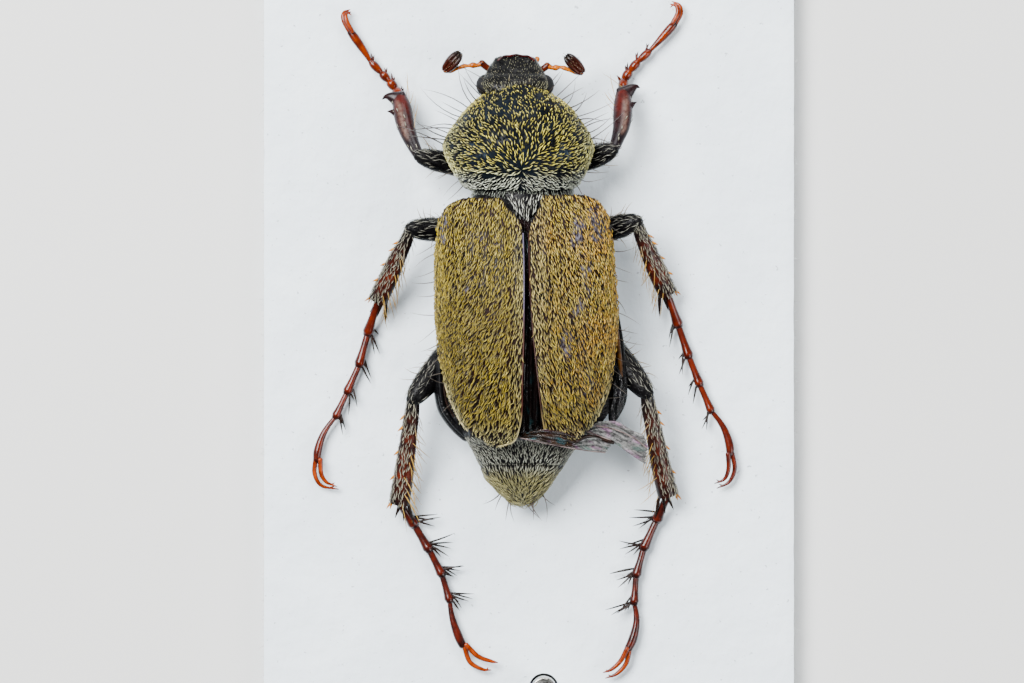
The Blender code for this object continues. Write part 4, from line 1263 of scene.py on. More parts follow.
@dataclass
class Head(Part):
    """The head: skull, lip and eyes."""

    centre: float = -0.29
    half: Line = Line(((6.12, 0.56), (6.25, 0.66), (6.4, 0.68), (6.5, 0.64), (6.61, 0.58), (6.7, 0.53),
        (6.8, 0.46), (6.88, 0.39), (6.91, 0.31)))
    top: Line = Line(((6.12, 2.28), (6.31, 2.24), (6.5, 2.12), (6.7, 1.92), (6.91, 1.74)))
    floor: Line = Line(((6.12, 1.1), (6.6, 1.1), (6.8, 1.26), (6.91, 1.46)))
    eye_radius: float = 0.215
    eye_offset: float = 0.61
    eye_place: tuple[float, float] = (6.3, 1.76)
    rows: int = 50
    columns: int = 65

    def sheet(self) -> Sheet:
        """The skull.

        Returns:
            A rolled sheet from the neck to the front.
        """
        low, high = self.half.points[0][0], self.half.points[-1][0]
        y = low + (high - low) * np.sin(pi / 2 * np.linspace(0, 1, self.rows))
        half, top, floor = (line.at(y)[:, None] for line in (self.half, self.top, self.floor))
        edge = floor + (top - floor) * 0.6
        turn = np.linspace(0, 2 * pi, self.columns)
        rise = np.sin(turn)[None]
        z = edge + np.where(rise > 0, top - edge, edge - floor) * np.sign(rise) * np.abs(rise) ** 0.5
        sheet = Sheet.tube(self.centre + half * np.cos(turn)[None], y, z)
        sheet.roughen(0.2, 3.0, 0.02)
        sheet.points[..., 2] -= 0.04 * np.exp(-((y[:, None] - 6.55) / 0.05) ** 2) * (rise > 0)
        return sheet.close()

    def eye(self, side: Side) -> None:
        """One compound eye, set in the side of the skull.

        Args:
            side: Which eye.
        """
        Bench.clear()
        place = np.array((self.centre + side.value * self.eye_offset, *self.eye_place)) * MM
        bpy.ops.mesh.primitive_uv_sphere_add(segments=40, ring_count=24, radius=self.eye_radius * MM,
                                             location=place)
        eye, name = bpy.context.object, side.name.lower()
        eye.name = eye.data.name = f"eye_ball_{name}"
        Bench.edit()
        bpy.ops.transform.resize(value=(0.94, 1.06, 0.96))
        bpy.ops.object.mode_set(mode="OBJECT")
        bpy.ops.object.transform_apply(location=True, rotation=True, scale=True)
        bpy.ops.object.shade_smooth()
        Bench.finish(eye, self.palette.eye, "eye_grey", f"eye_{name}")

    def build(self) -> None:
        """Make the skull, the lip, the coat and the eyes."""
        sheet = self.sheet()
        self.put("skull", sheet, self.palette.head, "head_black", "head")
        lip = [(self.centre + 0.02 + 0.37 * t, 6.925 - 0.1 * abs(t) ** 3 + 0.01 * cos(t * 9), 1.75,
                0.024, 0.026) for t in np.linspace(-1, 1, 13)]
        self.put("lip_rim", bar(lip, 40, 14), self.palette.lip, "head_black")

        def keep(spots: Array, places: Array) -> Array:
            """Share of setae, most at the back and beside the eyes."""
            wide = step_up(np.abs(spots[:, 0] - self.centre), 0.32, 0.5) * 0.3 + 0.3
            return np.clip(step_up(spots[:, 1], 6.45, 6.3) * 0.4 + wide, 0, 0.8) * step_up(spots[:, 2], 1.3, 1.6)

        roots = sheet.scatter(420, self.rng, keep)
        fringe = step_up(roots.points[:, 1], 6.36, 6.3)[:, None]
        back, front = tone(160, 158, 124), tone(140, 138, 112)
        ways = vectors(roots.points[:, 0] - self.centre, 0.9)
        self.grow("head_coat", Seta(0.04, 0.009, rise=0.3, start=0.8), roots, ways,
                  front + (back - front) * fringe, "head_black", 1 + 0.8 * fringe[:, 0])
        spots = np.array(((-0.42, 6.38, 2.2), (0.0, 6.36, 2.2), (-0.72, 6.52, 1.95), (0.16, 6.5, 1.95)))
        self.grow("head_bristles", HAIR, standing(*spots.T), np.array((0.1, 1.0, 0.3)),
                  tone(150, 140, 110), "head_black", np.array((0.3, 0.2, 0.2, 0.2)), True)
        for side in Side:
            self.eye(side)


@dataclass
class Feeler(Part):
    """One antenna: scape, pedicel, funicle and the club of three leaves, and the palp beside it."""

    side: Side
    path: Table
    club: Table
    palp: Table
    leaf: tuple[float, float] = (0.062, 0.12)
    spacing: float = 0.08
    wrap: tuple[float, float] = (0.125, 0.12)

    def build(self) -> None:
        """Make the antenna and the palp."""
        name = self.side.name.lower()
        self.put(f"feeler_scape_{name}", bar(self.path[:3], 18, 16), self.palette.scape, "feeler_orange")
        self.put(f"feeler_funicle_{name}", bar(self.path[2:], 44, 14), self.palette.feeler, "feeler_orange",
                 f"antenna_stalk_{name}")
        start, end = np.array(self.club)
        across = unit(np.cross(unit(end - start), UP))
        leaves = []
        for number in (-1, 0, 1):
            stations = []
            for share, size in ((0.0, 0.35), (0.12, 0.72), (0.45, 1.0), (0.75, 0.9), (0.92, 0.6), (1.0, 0.3)):
                spot = start + (end - start) * share + across * number * self.spacing * (0.3 + 0.7 * size)
                stations.append((*spot, self.leaf[0] * size, self.leaf[1] * size))
            leaves.append(Bench.skin("leaf", bar(stations, 24, 18)))
        Bench.finish(Bench.join(f"feeler_club_{name}", leaves), self.palette.club, "club_brown",
                     f"antenna_club_{name}")
        sheet = bar([(*(start + (end - start) * share), self.wrap[0] * size, self.wrap[1] * size)
                     for share, size in ((0.0, 0.6), (0.5, 1.0), (1.0, 0.6))], 20, 21)
        low, high = start[2] - 0.05, end[2] + 0.03
        roots = sheet.scatter(200, self.rng, lambda spots, places: step_up(spots[:, 2], low, high))
        self.grow(f"feeler_club_coat_{name}", Seta(0.05, 0.007, rise=0.3, start=0.9), roots, end - start,
                  tone(150, 130, 100), "club_brown")
        self.put(f"palp_tip_{name}", bar(self.palp, 16, 14), self.palette.feeler, "feeler_orange",
                 f"palp_{name}")


@dataclass
class Trunk(Part):
    """Hind thorax, abdomen and pygidium under one skin, the scutellum and the folded wings in the gap."""

    back: Back = Back()
    left: Line = Line(((-2.45, -0.2), (-2.43, -0.3), (-2.28, -0.54), (-2.06, -0.77), (-1.83, -0.96),
        (-1.62, -1.06), (-1.29, -1.22), (-0.98, -1.4), (-0.56, -1.69), (0.06, -1.85), (0.6, -1.88),
        (2.0, -1.84), (3.2, -1.7), (4.02, -1.2)))
    right: Line = Line(((-2.45, -0.04), (-2.43, 0.06), (-2.28, 0.25), (-2.06, 0.44), (-1.83, 0.6),
        (-1.62, 0.76), (-1.29, 0.98), (-0.98, 1.3), (-0.56, 1.68), (0.06, 1.82), (0.6, 1.84), (2.0, 1.74),
        (3.2, 1.56), (4.02, 0.95)))
    floor: Line = Line(((-2.45, 1.0), (-2.2, 0.86), (-1.62, 0.78), (-0.6, 0.56), (3.3, 0.56), (4.02, 0.85)))
    tail_top: Line = Line(((-2.45, 1.03), (-2.43, 1.1), (-2.28, 1.38), (-2.0, 1.68), (-1.62, 1.94),
        (-1.3, 2.06), (-1.1, 2.16)))
    ends: tuple[float, float] = (-2.43, 4.02)
    plate: Table = ((-0.5, 4.02), (0.28, 4.02), (-0.07, 3.42))
    tail_bristles: Table = ((-0.6, -2.2, -0.8, -2.45), (-0.56, -2.22, -0.73, -2.48),
        (-0.41, -2.32, -0.5, -2.73), (-0.38, -2.32, -0.46, -2.71), (-0.09, -2.38, 0.15, -2.69),
        (0.01, -2.36, 0.16, -2.72), (0.06, -2.34, 0.14, -2.69), (0.24, -2.2, 0.46, -2.48),
        (0.27, -2.18, 0.56, -2.65))
    collar: Table = ((3.82, 1.78, 1.0, 0.72), (4.0, 1.78, 1.05, 0.82), (4.2, 1.78, 1.0, 0.8))
    crease: float = -1.58
    inset: float = 0.05
    rows: int = 150
    columns: int = 121

    def sheet(self) -> Sheet:
        """The outer face, with a ledge under the wing cases' margins.

        Returns:
            A rolled sheet from the tail to the collar.
        """
        share = np.linspace(0, 1, self.rows)
        low, high = self.ends
        y = low + (high - low) * (0.6 * share + 0.4 * share ** 2)
        left, right = self.left.at(y) + self.inset, self.right.at(y) - self.inset
        middle, half = (left + right) / 2, (right - left) / 2
        cover, floor, tail = step_up(y, -1.22, -1.02), self.floor.at(y), self.tail_top.at(y)
        ledge = (self.back.margin.at(y) - 0.05) * cover + (floor + (tail - floor) * 0.55) * (1 - cover)
        top = (self.back.ridge.at(y) - 0.26) * cover + tail * (1 - cover)
        dome = np.minimum(self.back.half.at(y) - 0.26, half) * cover + half * (1 - cover)
        turn = np.linspace(0, 2 * pi, self.columns)
        rise = np.sin(turn)[None]
        x = middle[:, None] + np.where(rise > 0, dome[:, None], half[:, None]) * np.cos(turn)[None]
        reach = np.where(rise > 0, (top - ledge)[:, None], (ledge - floor)[:, None])
        z = ledge[:, None] + reach * np.sign(rise) * np.abs(rise) ** 0.85
        z = z - 0.05 * np.exp(-((y - self.crease) / 0.016) ** 2)[:, None] * (rise > 0)
        return Sheet.tube(x, y, z).close()

    def keep(self, spots: Array, places: Array) -> Array:
        """Share of setae: dense behind the wing cases but for the crease, sparse on the flanks.

        Args:
            spots: Points on the skin.
            places: Their places on its unwrap.

        Returns:
            Shares from 0 to 1.
        """
        y, z, brink = spots[:, 1], spots[:, 2], self.crease + 0.025
        streaks = 0.5 + 0.5 * step_up(grain(spots * (1.0, 0.3, 0.3), 0.09, 4.0), -0.2, 0.1)
        gap = 0.05 * step_up(np.abs(spots[:, 0] + 0.13), 0.62, 0.5)
        streaks = np.where(y > self.crease, 1.0, streaks) * ((y > brink + gap) | (y < brink))
        return np.where((y < -1.0) & (z > 1.0), streaks, 0.4 * (y < 3.9) * step_up(z, 0.62, 0.8) * (z < 1.4))

    def coat(self, sheet: Sheet) -> None:
        """The abdomen's last rings: short grey setae, then long yellow ones that stream to the tip.

        Args:
            sheet: The trunk's skin.
        """
        roots = sheet.scatter(420, self.rng, self.keep)
        x, y = roots.points[:, :2].T
        ways = unit(vectors(-0.12 - x, (-2.75 - y) * 1.1))
        ways[:, 0] += 0.35 * grain(roots.points, 0.3, 8.0)
        tail = step_up(y, self.crease + 0.05, self.crease - 0.28)[:, None]
        colours = tone(160, 163, 149) * (1 - tail) + tone(162, 156, 104) * tail
        self.grow("tail_coat", Seta(0.12, 0.02, rise=0.16, sway=0.2), roots, ways, colours, "tail_hair",
                  0.95 + 0.8 * tail[:, 0])
        x, y, tip_x, tip_y = np.array(self.tail_bristles).T
        lengths = np.hypot(tip_x - x, tip_y - y) * 1.15 / BRISTLE.length
        self.grow("tail_bristles", BRISTLE, standing(x, y, 1.2), vectors(tip_x - x, tip_y - y),
                  tone(54, 40, 34), "tail_hair", lengths, True)

    def scutellum(self) -> None:
        """The small triangular plate, with white setae that converge on its tip."""
        (left, right, tip), rows = np.array(self.plate), []
        shares = np.linspace(0, 1, 18)
        for row in shares:
            bow = np.array((0.03 * sin(pi * row), 0))
            start, end = left * (1 - row) + tip * row - bow, right * (1 - row) + tip * row + bow
            spots = start[None] + (end - start)[None] * shares[:, None]
            dome = 0.07 * np.sin(pi * shares) * (1 - row)
            rows.append(np.column_stack((spots, 2.85 + dome - 0.04 * (1 - row) ** 3)))
        sheet = Sheet(np.array(rows))
        self.put("scutellum_plate", sheet, self.palette.trunk, "scutellum_white", "scutellum", wall=0.25)

        def keep(spots: Array, places: Array) -> Array:
            """Share of setae: two patches with a dark seam between them."""
            aside = step_up(np.abs(spots[:, 0] - tip[0]), 0.02, 0.07)
            return 0.3 + 0.7 * aside * step_up(spots[:, 1], 4.0, 3.92)

        roots = sheet.scatter(320, self.rng, keep)
        self.grow("scutellum_coat", Seta(0.12, 0.019, rise=0.15, shades=(0.35, 1.45)), roots,
                  vectors((tip[0] - roots.points[:, 0]) * 0.9, -0.7), tone(222, 224, 210), "scutellum_white")

    def edges(self) -> None:
        """The rims of the abdomen that show beside the wing cases, and the amber strips along them."""
        left = ((-1.86, 0.5), (-1.85, 0.02), (-1.79, -0.37), (-1.65, -0.62), (-1.47, -0.83), (-1.3, -0.98))
        groove = ((-1.79, 0.5), (-1.77, 0.02), (-1.7, -0.35), (-1.56, -0.59))
        right = ((1.83, 1.5), (1.92, 0.98), (1.97, 0.5), (2.0, 0.05))
        strip = ((1.8, 1.3), (1.85, 0.9), (1.9, 0.4), (1.91, 0.2))
        trunk, spine, amber = self.palette.trunk, self.palette.spine, self.palette.amber
        for name, path, level, radius, finish in (
                ("rim_left", left, 1.74, 0.065, trunk), ("sill_left", left, 1.58, 0.14, trunk),
                ("groove_left", groove, 1.76, 0.03, spine), ("rim_right", right, 1.72, 0.05, trunk),
                ("strip_right", strip, 1.8, 0.06, amber)):
            stations = [(*spot, level, radius, radius * 1.4) for spot in path]
            self.put(f"abdomen_{name}", bar(stations, 30, 14), finish, "body_black")

    def pleats(self) -> None:
        """The folded wings that show dark in the gap, and the collar that joins thorax and prothorax."""
        grid_x, grid_y = np.meshgrid(np.linspace(-0.26, 0.5, 40), np.linspace(-1.08, 3.52, 120))
        level = self.back.level(grid_x.ravel(), grid_y.ravel()).reshape(grid_x.shape) - 0.2
        folds = 0.035 * np.sin(grid_x * 46 - 2.16 * grid_y + 0.8 * np.sin(grid_y * 2.2))
        sheet = Sheet(vectors(grid_x, grid_y, level + folds))
        self.put("wing_pleats", sheet, self.palette.pleat, "wing_fold_black", wall=0.03)
        sheet = bar([(-0.13, *spot) for spot in self.collar], 12, 61)
        self.put("collar", sheet, self.palette.trunk, "body_black")
        roots = sheet.scatter(330, self.rng, lambda spots, places: step_up(spots[:, 2], 1.6, 1.9))
        self.grow("collar_coat", Seta(0.12, 0.016, rise=0.3, start=0.6), roots,
                  vectors(roots.points[:, 0] * 0.4, -1.0), tone(164, 172, 158), "body_black")

    def build(self) -> None:
        """Make the trunk's pieces."""
        sheet = self.sheet()
        self.put("trunk", sheet, self.palette.trunk, "body_black", "thorax", "abdomen", "pygidium")
        self.coat(sheet)
        self.scutellum()
        self.edges()
        self.pleats()


@dataclass
class HindWing(Part):
    """The torn right hind wing: the black fold at the side and the blades of membrane, with their veins and a
    dark bar of painted shadow between the blades.
    """

    fold: Table = ((1.78, 0.5, 1.78, 0.06, 0.08), (1.88, 0.2, 1.78, 0.14, 0.14),
        (1.86, -0.2, 1.8, 0.17, 0.16), (1.78, -0.52, 1.8, 0.12, 0.12), (1.7, -0.76, 1.8, 0.04, 0.05))
    film_edges: tuple[Table, Table] = (
        ((-0.2, -0.97, 2.44), (0.2, -0.86, 2.74), (0.6, -0.88, 2.72), (1.0, -1.0, 2.44)),
        ((-0.2, -1.03, 2.42), (0.2, -1.11, 2.54), (0.6, -1.2, 2.46), (0.95, -1.25, 2.32)))
    tail_edges: tuple[Table, Table] = (
        ((0.9, -1.16, 2.38), (1.1, -1.08, 2.36), (1.3, -1.03, 2.28), (1.52, -1.04, 2.2), (1.74, -1.11, 2.12)),
        ((0.86, -1.24, 2.34), (1.05, -1.27, 2.3), (1.25, -1.3, 2.22), (1.42, -1.32, 2.16),
         (1.59, -1.34, 2.1)))
    blade_edges: tuple[Table, Table] = (
        ((1.22, -0.86, 2.24), (1.39, -0.71, 2.22), (1.62, -0.68, 2.18), (1.85, -0.7, 2.14),
         (2.03, -0.81, 2.14), (2.2, -0.9, 2.16), (2.37, -0.97, 2.16), (2.46, -1.2, 2.13)),
        ((1.16, -0.96, 2.24), (1.33, -1.02, 2.2), (1.54, -1.07, 2.14), (1.75, -1.14, 2.1),
         (1.92, -1.24, 2.09), (2.08, -1.36, 2.1), (2.24, -1.47, 2.1), (2.41, -1.58, 2.08)))
    rows: int = 70
    columns: int = 22
    thickness: float = 0.012
    pleats: int = 7

    def blade(self, name: str, edges: tuple[Table, Table], finish: Material, *nodes: str) -> None:
        """One crumpled blade between its front and back edges.

        Args:
            name: Name of the piece.
            edges: Points of the front edge and of the back edge.
            finish: Its material.
            nodes: The nodes that it replaces.
        """
        places = np.linspace(0, len(edges[0]) - 1, self.rows)
        front, back = (Line(tuple((float(k), *spot) for k, spot in enumerate(edge))).at(places)[:, None]
                       for edge in edges)
        share = np.linspace(0, 1, self.columns)[None, :, None]
        sheet = Sheet(front * (1 - share) + back * share)
        sheet.roughen(0.16, 12.0, 0.025, (0.7, 1.6, 1.0))
        sheet.points[..., 2] += 0.03 * np.sin(share[..., 0] * pi * 5)
        sheet.points[-1, :, 0] += 0.02 * np.sin(np.arange(self.columns) * 1.7)
        self.put(name, sheet, finish, "wing_membrane", *nodes, wall=self.thickness)

    def build(self) -> None:
        """Make the fold, the blades, their veins and the dark bar of painted shadow."""
        sheet = bar(self.fold, 60, 64)
        swell = 1 + 0.13 * np.cos(self.pleats * np.linspace(0, 2 * pi, 64))[None, :, None]
        sheet.points[...] = sheet.middle() + (sheet.points - sheet.middle()) * swell
        sheet.roughen(0.07, 3.0, 0.05, (1.0, 0.3, 1.0))
        self.put("wing_fold", sheet.close(), self.palette.fold, "wing_fold_black", "hind_wing_fold")
        self.blade("wing_film", self.film_edges, self.palette.brown_film)
        self.blade("wing_blade_tail", self.tail_edges, self.palette.film, "hind_wing_blade_lower")
        self.blade("wing_blade_upper", self.blade_edges, self.palette.film, "hind_wing_blade_upper")
        long = ((-0.21, -1.02, 2.46), (0.08, -1.09, 2.54), (0.68, -1.21, 2.46), (1.2, -1.3, 2.27),
                (1.58, -1.34, 2.13))
        # The dark bar named shade is painted shadow between the blades, not a vein.
        shade = ((1.0, -1.1, 2.4), (1.2, -1.0, 2.3), (1.45, -1.04, 2.2), (1.74, -1.13, 2.12))
        fold = ((1.2, -0.9, 2.27), (1.42, -0.98, 2.23), (1.7, -1.08, 2.16))
        upper = ((1.4, -0.78, 2.25), (1.8, -0.86, 2.17), (2.2, -1.05, 2.18), (2.44, -1.24, 2.15))
        vein, dark = self.palette.vein, self.palette.spine
        for name, spots, radius, finish in (("long", long, 0.011, vein), ("shade", shade, 0.042, dark),
                                            ("fold", fold, 0.012, vein), ("upper", upper, 0.012, vein)):
            stations = [(*spot, radius) for spot in spots]
            self.put(f"wing_vein_{name}", bar(stations, 30, 10), finish, "wing_membrane")


@dataclass(frozen=True)
class LegPlan:
    """Places of one leg, from its hip to its claws, with its half widths."""

    pair: Pair
    side: Side
    hip: tuple[float, float, float]
    knee: tuple[float, float, float]
    shin: Table
    toes: Table
    last: Table
    claws: tuple[Table, Table]
    thigh: float
    toe_half: tuple[float, float] = (0.1, 0.075)
    teeth: Table = ()


@dataclass
class Leg(Part):
    """One leg: femur, tibia, tarsus, claws, spines and coat."""

    plan: LegPlan
    level: float = 0.7
    ankle_level: float = 0.98
    thigh_flat: float = 0.82
    shin_flat: float = 0.8
    tooth_run: float = 0.32
    last_steps: tuple[float, ...] = (0, 0.25, 0.5, 0.8, 1)
    fans: ClassVar[dict[Pair, Table]] = {
        Pair.HIND: ((18, 0.52), (29, 0.5), (44, 0.44), (60, 0.42), (50, 0.22), (72, 0.26)),
        Pair.MIDDLE: ((48, 0.42), (62, 0.46), (30, 0.2)), Pair.FRONT: ((40, 0.12), (64, 0.16))}

    @property
    def name(self) -> str:
        """The leg's place, as in its nodes' names."""
        return f"{self.plan.pair.value}_{self.plan.side.name.lower()}"

    def aims(self) -> tuple[Array, Array]:
        """The tibia's directions.

        Returns:
            Its direction, and the one to its outer side.
        """
        along = unit(np.array((*self.plan.shin[-1][:2], self.ankle_level)) - self.plan.knee)
        outer = unit(turned(along))
        return along, outer if outer[0] * self.plan.side.value > 0 else -outer

    @staticmethod
    def beside(sheet: Sheet, spots: Array, places: Array, way: Array) -> Array:
        """How far spots of a limb's skin lie from its axis in a direction."""
        row = np.clip((places[:, 1] * (len(sheet.points) - 1)).astype(int), 0, len(sheet.points) - 1)
        return (spots - sheet.middle()[row, 0]) @ way

    def femur(self) -> None:
        """The thigh, a flattened black spindle with sparse grey-white setae on its upper and outer faces."""
        hip, thigh, name = np.array(self.plan.hip), self.plan.thigh, self.name
        way = self.plan.knee - hip
        sheet = bar([(*(hip + way * share), thigh * size, thigh * size * self.thigh_flat) for share, size in (
            (0.0, 0.6), (0.25, 0.86), (0.55, 1.0), (0.8, 0.96), (0.97, 0.72), (1.02, 0.5))], 40, 33)
        self.put(f"{name}_thigh", sheet, self.palette.leg, "leg_black", f"{name}_femur")
        front = unit(turned(way))
        front = front if front[1] > 0 else -front
        low = 0.02 if self.plan.pair is Pair.HIND else 0.25

        def keep(spots: Array, places: Array) -> Array:
            """Share of setae: most on the front side."""
            return low + 0.75 * step_up(self.beside(sheet, spots, places, front + (0, 0, 0.4)), 0.0, 0.2)

        roots = sheet.scatter(140, self.rng, keep)
        ways = way[None] + self.rng.normal(0, 0.12, (len(roots.points), 3))
        self.grow(f"{name}_thigh_coat", Seta(0.18, 0.013, rise=0.12, sway=0.2), roots, ways,
                  tone(140, 140, 128), "leg_black")
        share = np.array((0.35, 0.42, 0.48, 0.54, 0.6, 0.66, 0.73, 0.8, 0.86, 0.5, 0.7))
        edge, count = np.array((1,) * 9 + (-1, -1))[:, None], len(share)
        spots = hip + way * share[:, None] + front * edge * thigh * 0.85
        ways = front * edge + unit(way) * 0.9 + self.rng.normal(0, 0.2, (count, 3)) * (1, 1, 0)
        self.grow(f"{name}_thigh_hairs", HAIR, standing(*spots.T), ways, tone(130, 106, 56), "leg_black",
                  self.rng.uniform(0.3, 0.7, count), True)

    def tibia(self) -> None:
        """The shin, widening to its cut end, with its teeth, coat, bristles and spurs."""
        plan, front = self.plan, self.plan.pair is Pair.FRONT
        path = np.array(((*plan.knee[:2], plan.shin[0][2] * 0.8), *plan.shin))
        run = np.concatenate(([0.0], np.cumsum(np.linalg.norm(np.diff(path[:, :2], axis=0), axis=1))))
        level = plan.knee[2] + (self.ankle_level - plan.knee[2]) * run / run[-1]
        stations = [(x, y, z, half, half * self.shin_flat) for (x, y, half), z in zip(path, level)]
        sheet = bar(stations, 60, 33, blunt=not front)
        pieces = [Bench.skin("shin", sheet)]
        for k, (x, y) in enumerate(plan.teeth):
            share, bow, wide = 0.35 + 0.25 * k, (0, 0.055 - 0.045 * k, 0), 0.2 - 0.05 * k
            root = np.array(stations[-2 - k][:3]) * share + np.array(stations[-1 - k][:3]) * (1 - share)
            tip = np.array((x, y, root[2] - 0.06))
            spots = ((*root, wide, 0.09), (*(root * 0.5 + tip * 0.5 + bow), wide * (0.56 + 0.06 * k), 0.075),
                     (*(root * 0.2 + tip * 0.8 + bow), wide * 0.27, 0.045), (*tip, 0.01, 0.015))
            pieces.append(Bench.skin("tooth", bar(spots, 20, 16)))
            Bench.paint(pieces[-1], "run", lambda spots: np.full(len(spots), self.tooth_run))
        shin = Bench.join(f"{self.name}_shin", pieces)
        if front:
            side, (x, y) = plan.side.value, path[:, :2].T
            # Marks the band of the painted highlight along the front tibia's outer side.
            Bench.paint(shin, "sheen_mask", lambda spots: np.exp(
                -((side * (spots[:, 0] - np.interp(spots[:, 1], y, x)) - 0.06) / 0.06) ** 2)
                * step_up(spots[:, 1], y[1], y[2]) * step_up(spots[:, 1], y[-1], y[-2]))
        Bench.finish(shin, self.palette.front_shin if front else self.palette.shin, "leg_red_brown",
                     f"{self.name}_tibia")
        self.shin_coat(sheet)
        if not front:
            self.spurs(stations)

    def shin_coat(self, sheet: Sheet) -> None:
        """Recumbent grey-white setae, few on the front legs, and golden bristles on the inner side.

        Args:
            sheet: The tibia's skin.
        """
        front, (along, outer) = self.plan.pair is Pair.FRONT, self.aims()

        def keep(spots: Array, places: Array) -> Array:
            """Share of setae: most on the upper and outer faces."""
            up = step_up(self.beside(sheet, spots, places, 0.7 * UP + outer), -0.06, 0.08)
            return up * (0.05 if front else 0.85) * np.where(grain(spots, 0.12, 3.0) > 0.2, 0.25, 1.0)

        def inner(spots: Array, places: Array) -> Array:
            """Share of bristles: the inner edge, more towards the end."""
            edge = step_up(self.beside(sheet, spots, places, -outer), 0.0, 0.1)
            return edge * (0.15 + 0.85 * step_up(places[:, 1], 0.1, 0.7))

        roots = sheet.scatter(320, self.rng, keep)
        ways = along[None] + self.rng.normal(0, 0.14, (len(roots.points), 3))
        self.grow(f"{self.name}_shin_coat", Seta(0.14, 0.018, rise=0.14, sway=0.14), roots, ways,
                  tone(166, 162, 142), "leg_red_brown")
        roots = sheet.scatter(16 if front else 60, self.rng, inner)
        count = len(roots.points)
        ways = along[None] * 0.8 - outer[None] * 0.6 + self.rng.normal(0, 0.16, (count, 3)) * (1, 1, 0.5)
        golden = step_up(roots.places[:, 1], 0.25, 0.6)[:, None]
        tints = tone(150, 144, 132) * (1 - golden) + tone(196, 154, 64) * golden
        self.grow(f"{self.name}_shin_bristles", Seta(0.44, 0.018, rise=0.25, start=0.9, back=0.0, sway=0.12),
                  roots, ways, tints, "leg_red_brown", 0.5 + 0.8 * roots.places[:, 1], True)

    def spurs(self, stations: Sequence[tuple[float, ...]]) -> None:
        """The orange outer spines, and the orange and black spurs of the tibia's end.

        Args:
            stations: The tibia's points with their half widths.
        """
        (along, outer), half = self.aims(), stations[-1][3]
        line = Line(tuple((k / (len(stations) - 1), *row) for k, row in enumerate(stations)))
        end = np.array(stations[-1][:3])
        heel = end - along * 0.04
        spots = [line.at(share) for share in (0.3, 0.42, 0.62, 0.8)]
        orange = [self.spike(spot[:3] + outer * spot[3] * 0.85, outer * 0.65 + along * 0.75, 0.17, 0.028)
                  for spot in spots]
        orange += [self.spike(heel + outer * half * 0.75, outer * lean + along, length, 0.026)
                   for lean, length in ((0.1, 0.2), (0.5, 0.22))]
        black = [self.spike(heel - outer * half * place, along - outer * lean, length, 0.038)
                 for place, lean, length in ((0.1, -0.2, 0.38), (0.45, 0.08, 0.42), (0.8, 0.4, 0.5))]
        Bench.finish(Bench.join(f"{self.name}_spurs_orange", orange), self.palette.spur, "claw_amber")
        Bench.finish(Bench.join(f"{self.name}_spurs_black", black), self.palette.spine, "leg_red_brown")

    def tarsus(self) -> None:
        """Five toe joints, each flared to an oblique end, with black spines on the inner side."""
        plan = self.plan
        ankle = np.array((*plan.shin[-1][:2], self.ankle_level - 0.05))
        joints = [ankle] + [np.array((x, y, self.level)) for x, y in plan.toes]
        pieces, spines, bead = [], [], plan.pair is Pair.FRONT
        shares = ((-0.05, 0.72), (0.15, 0.78), (0.5, 0.84), (0.76, 1.0), (0.93, 1.16), (1.0, 1.0))
        if bead:
            shares = ((-0.06, 0.6), (0.14, 0.84), (0.4, 1.06), (0.7, 1.08), (0.92, 0.86), (1.0, 0.66))
        for k, (start, end) in enumerate(zip(joints, joints[1:])):
            wide, way = plan.toe_half[0] + (plan.toe_half[1] - plan.toe_half[0]) * k / 4, end - start
            stations = [(*(start + way * share), wide * size) for share, size in shares]
            pieces.append(Bench.skin("joint", bar(stations, 24, 16)))
            spines += self.toe_spines(end, way, wide)
        middle, end = (np.array((x, y, self.level)) for x, y in plan.last)
        start, wide = joints[-1], plan.toe_half[1]
        bend = middle * 4 - start - end
        sizes = (0.6, 0.85, 1.1, 1.25, 1.1) if bead else (0.62, 0.78, 1.0, 1.22, 1.12)
        last = [(*(start * (1 - s) ** 2 + bend * s * (1 - s) + end * s ** 2), wide * size, wide * size * 0.95)
                for s, size in zip(self.last_steps, sizes)]
        pieces.append(Bench.skin("joint", bar(last, 34, 16)))
        finish = self.palette.toes[plan.pair]
        Bench.finish(Bench.join(f"{self.name}_toes", pieces), finish, "toe_red", f"{self.name}_tarsus")
        Bench.finish(Bench.join(f"{self.name}_toe_spines", spines),
                     self.palette.scape if bead else self.palette.spine, "toe_red")
        self.hooks()

    def toe_spines(self, joint: Array, way: Array, wide: float) -> list[Piece]:
        """The spines at one joint's end.

        Args:
            joint: The joint's end.
            way: Its direction, at its own length.
            wide: Its half width.

        Returns:
            The spines, not dressed.
        """
        along = unit(way * (1, 1, 0))
        inner = turned(along)
        inner = inner if inner[0] * self.plan.side.value < 0 else -inner
        made, draw = [], self.rng.uniform
        for turn, length in self.fans[self.plan.pair]:
            angle = radians(turn + draw(-5, 5))
            aim = inner * cos(angle) + along * sin(angle) + UP * draw(-0.1, 0.2)
            root = joint + along * draw(-0.17, 0.03) + inner * wide * 0.75
            made.append(self.spike(root, aim, length * draw(0.85, 1.1), 0.021, draw(-0.12, 0.12)))
        return made

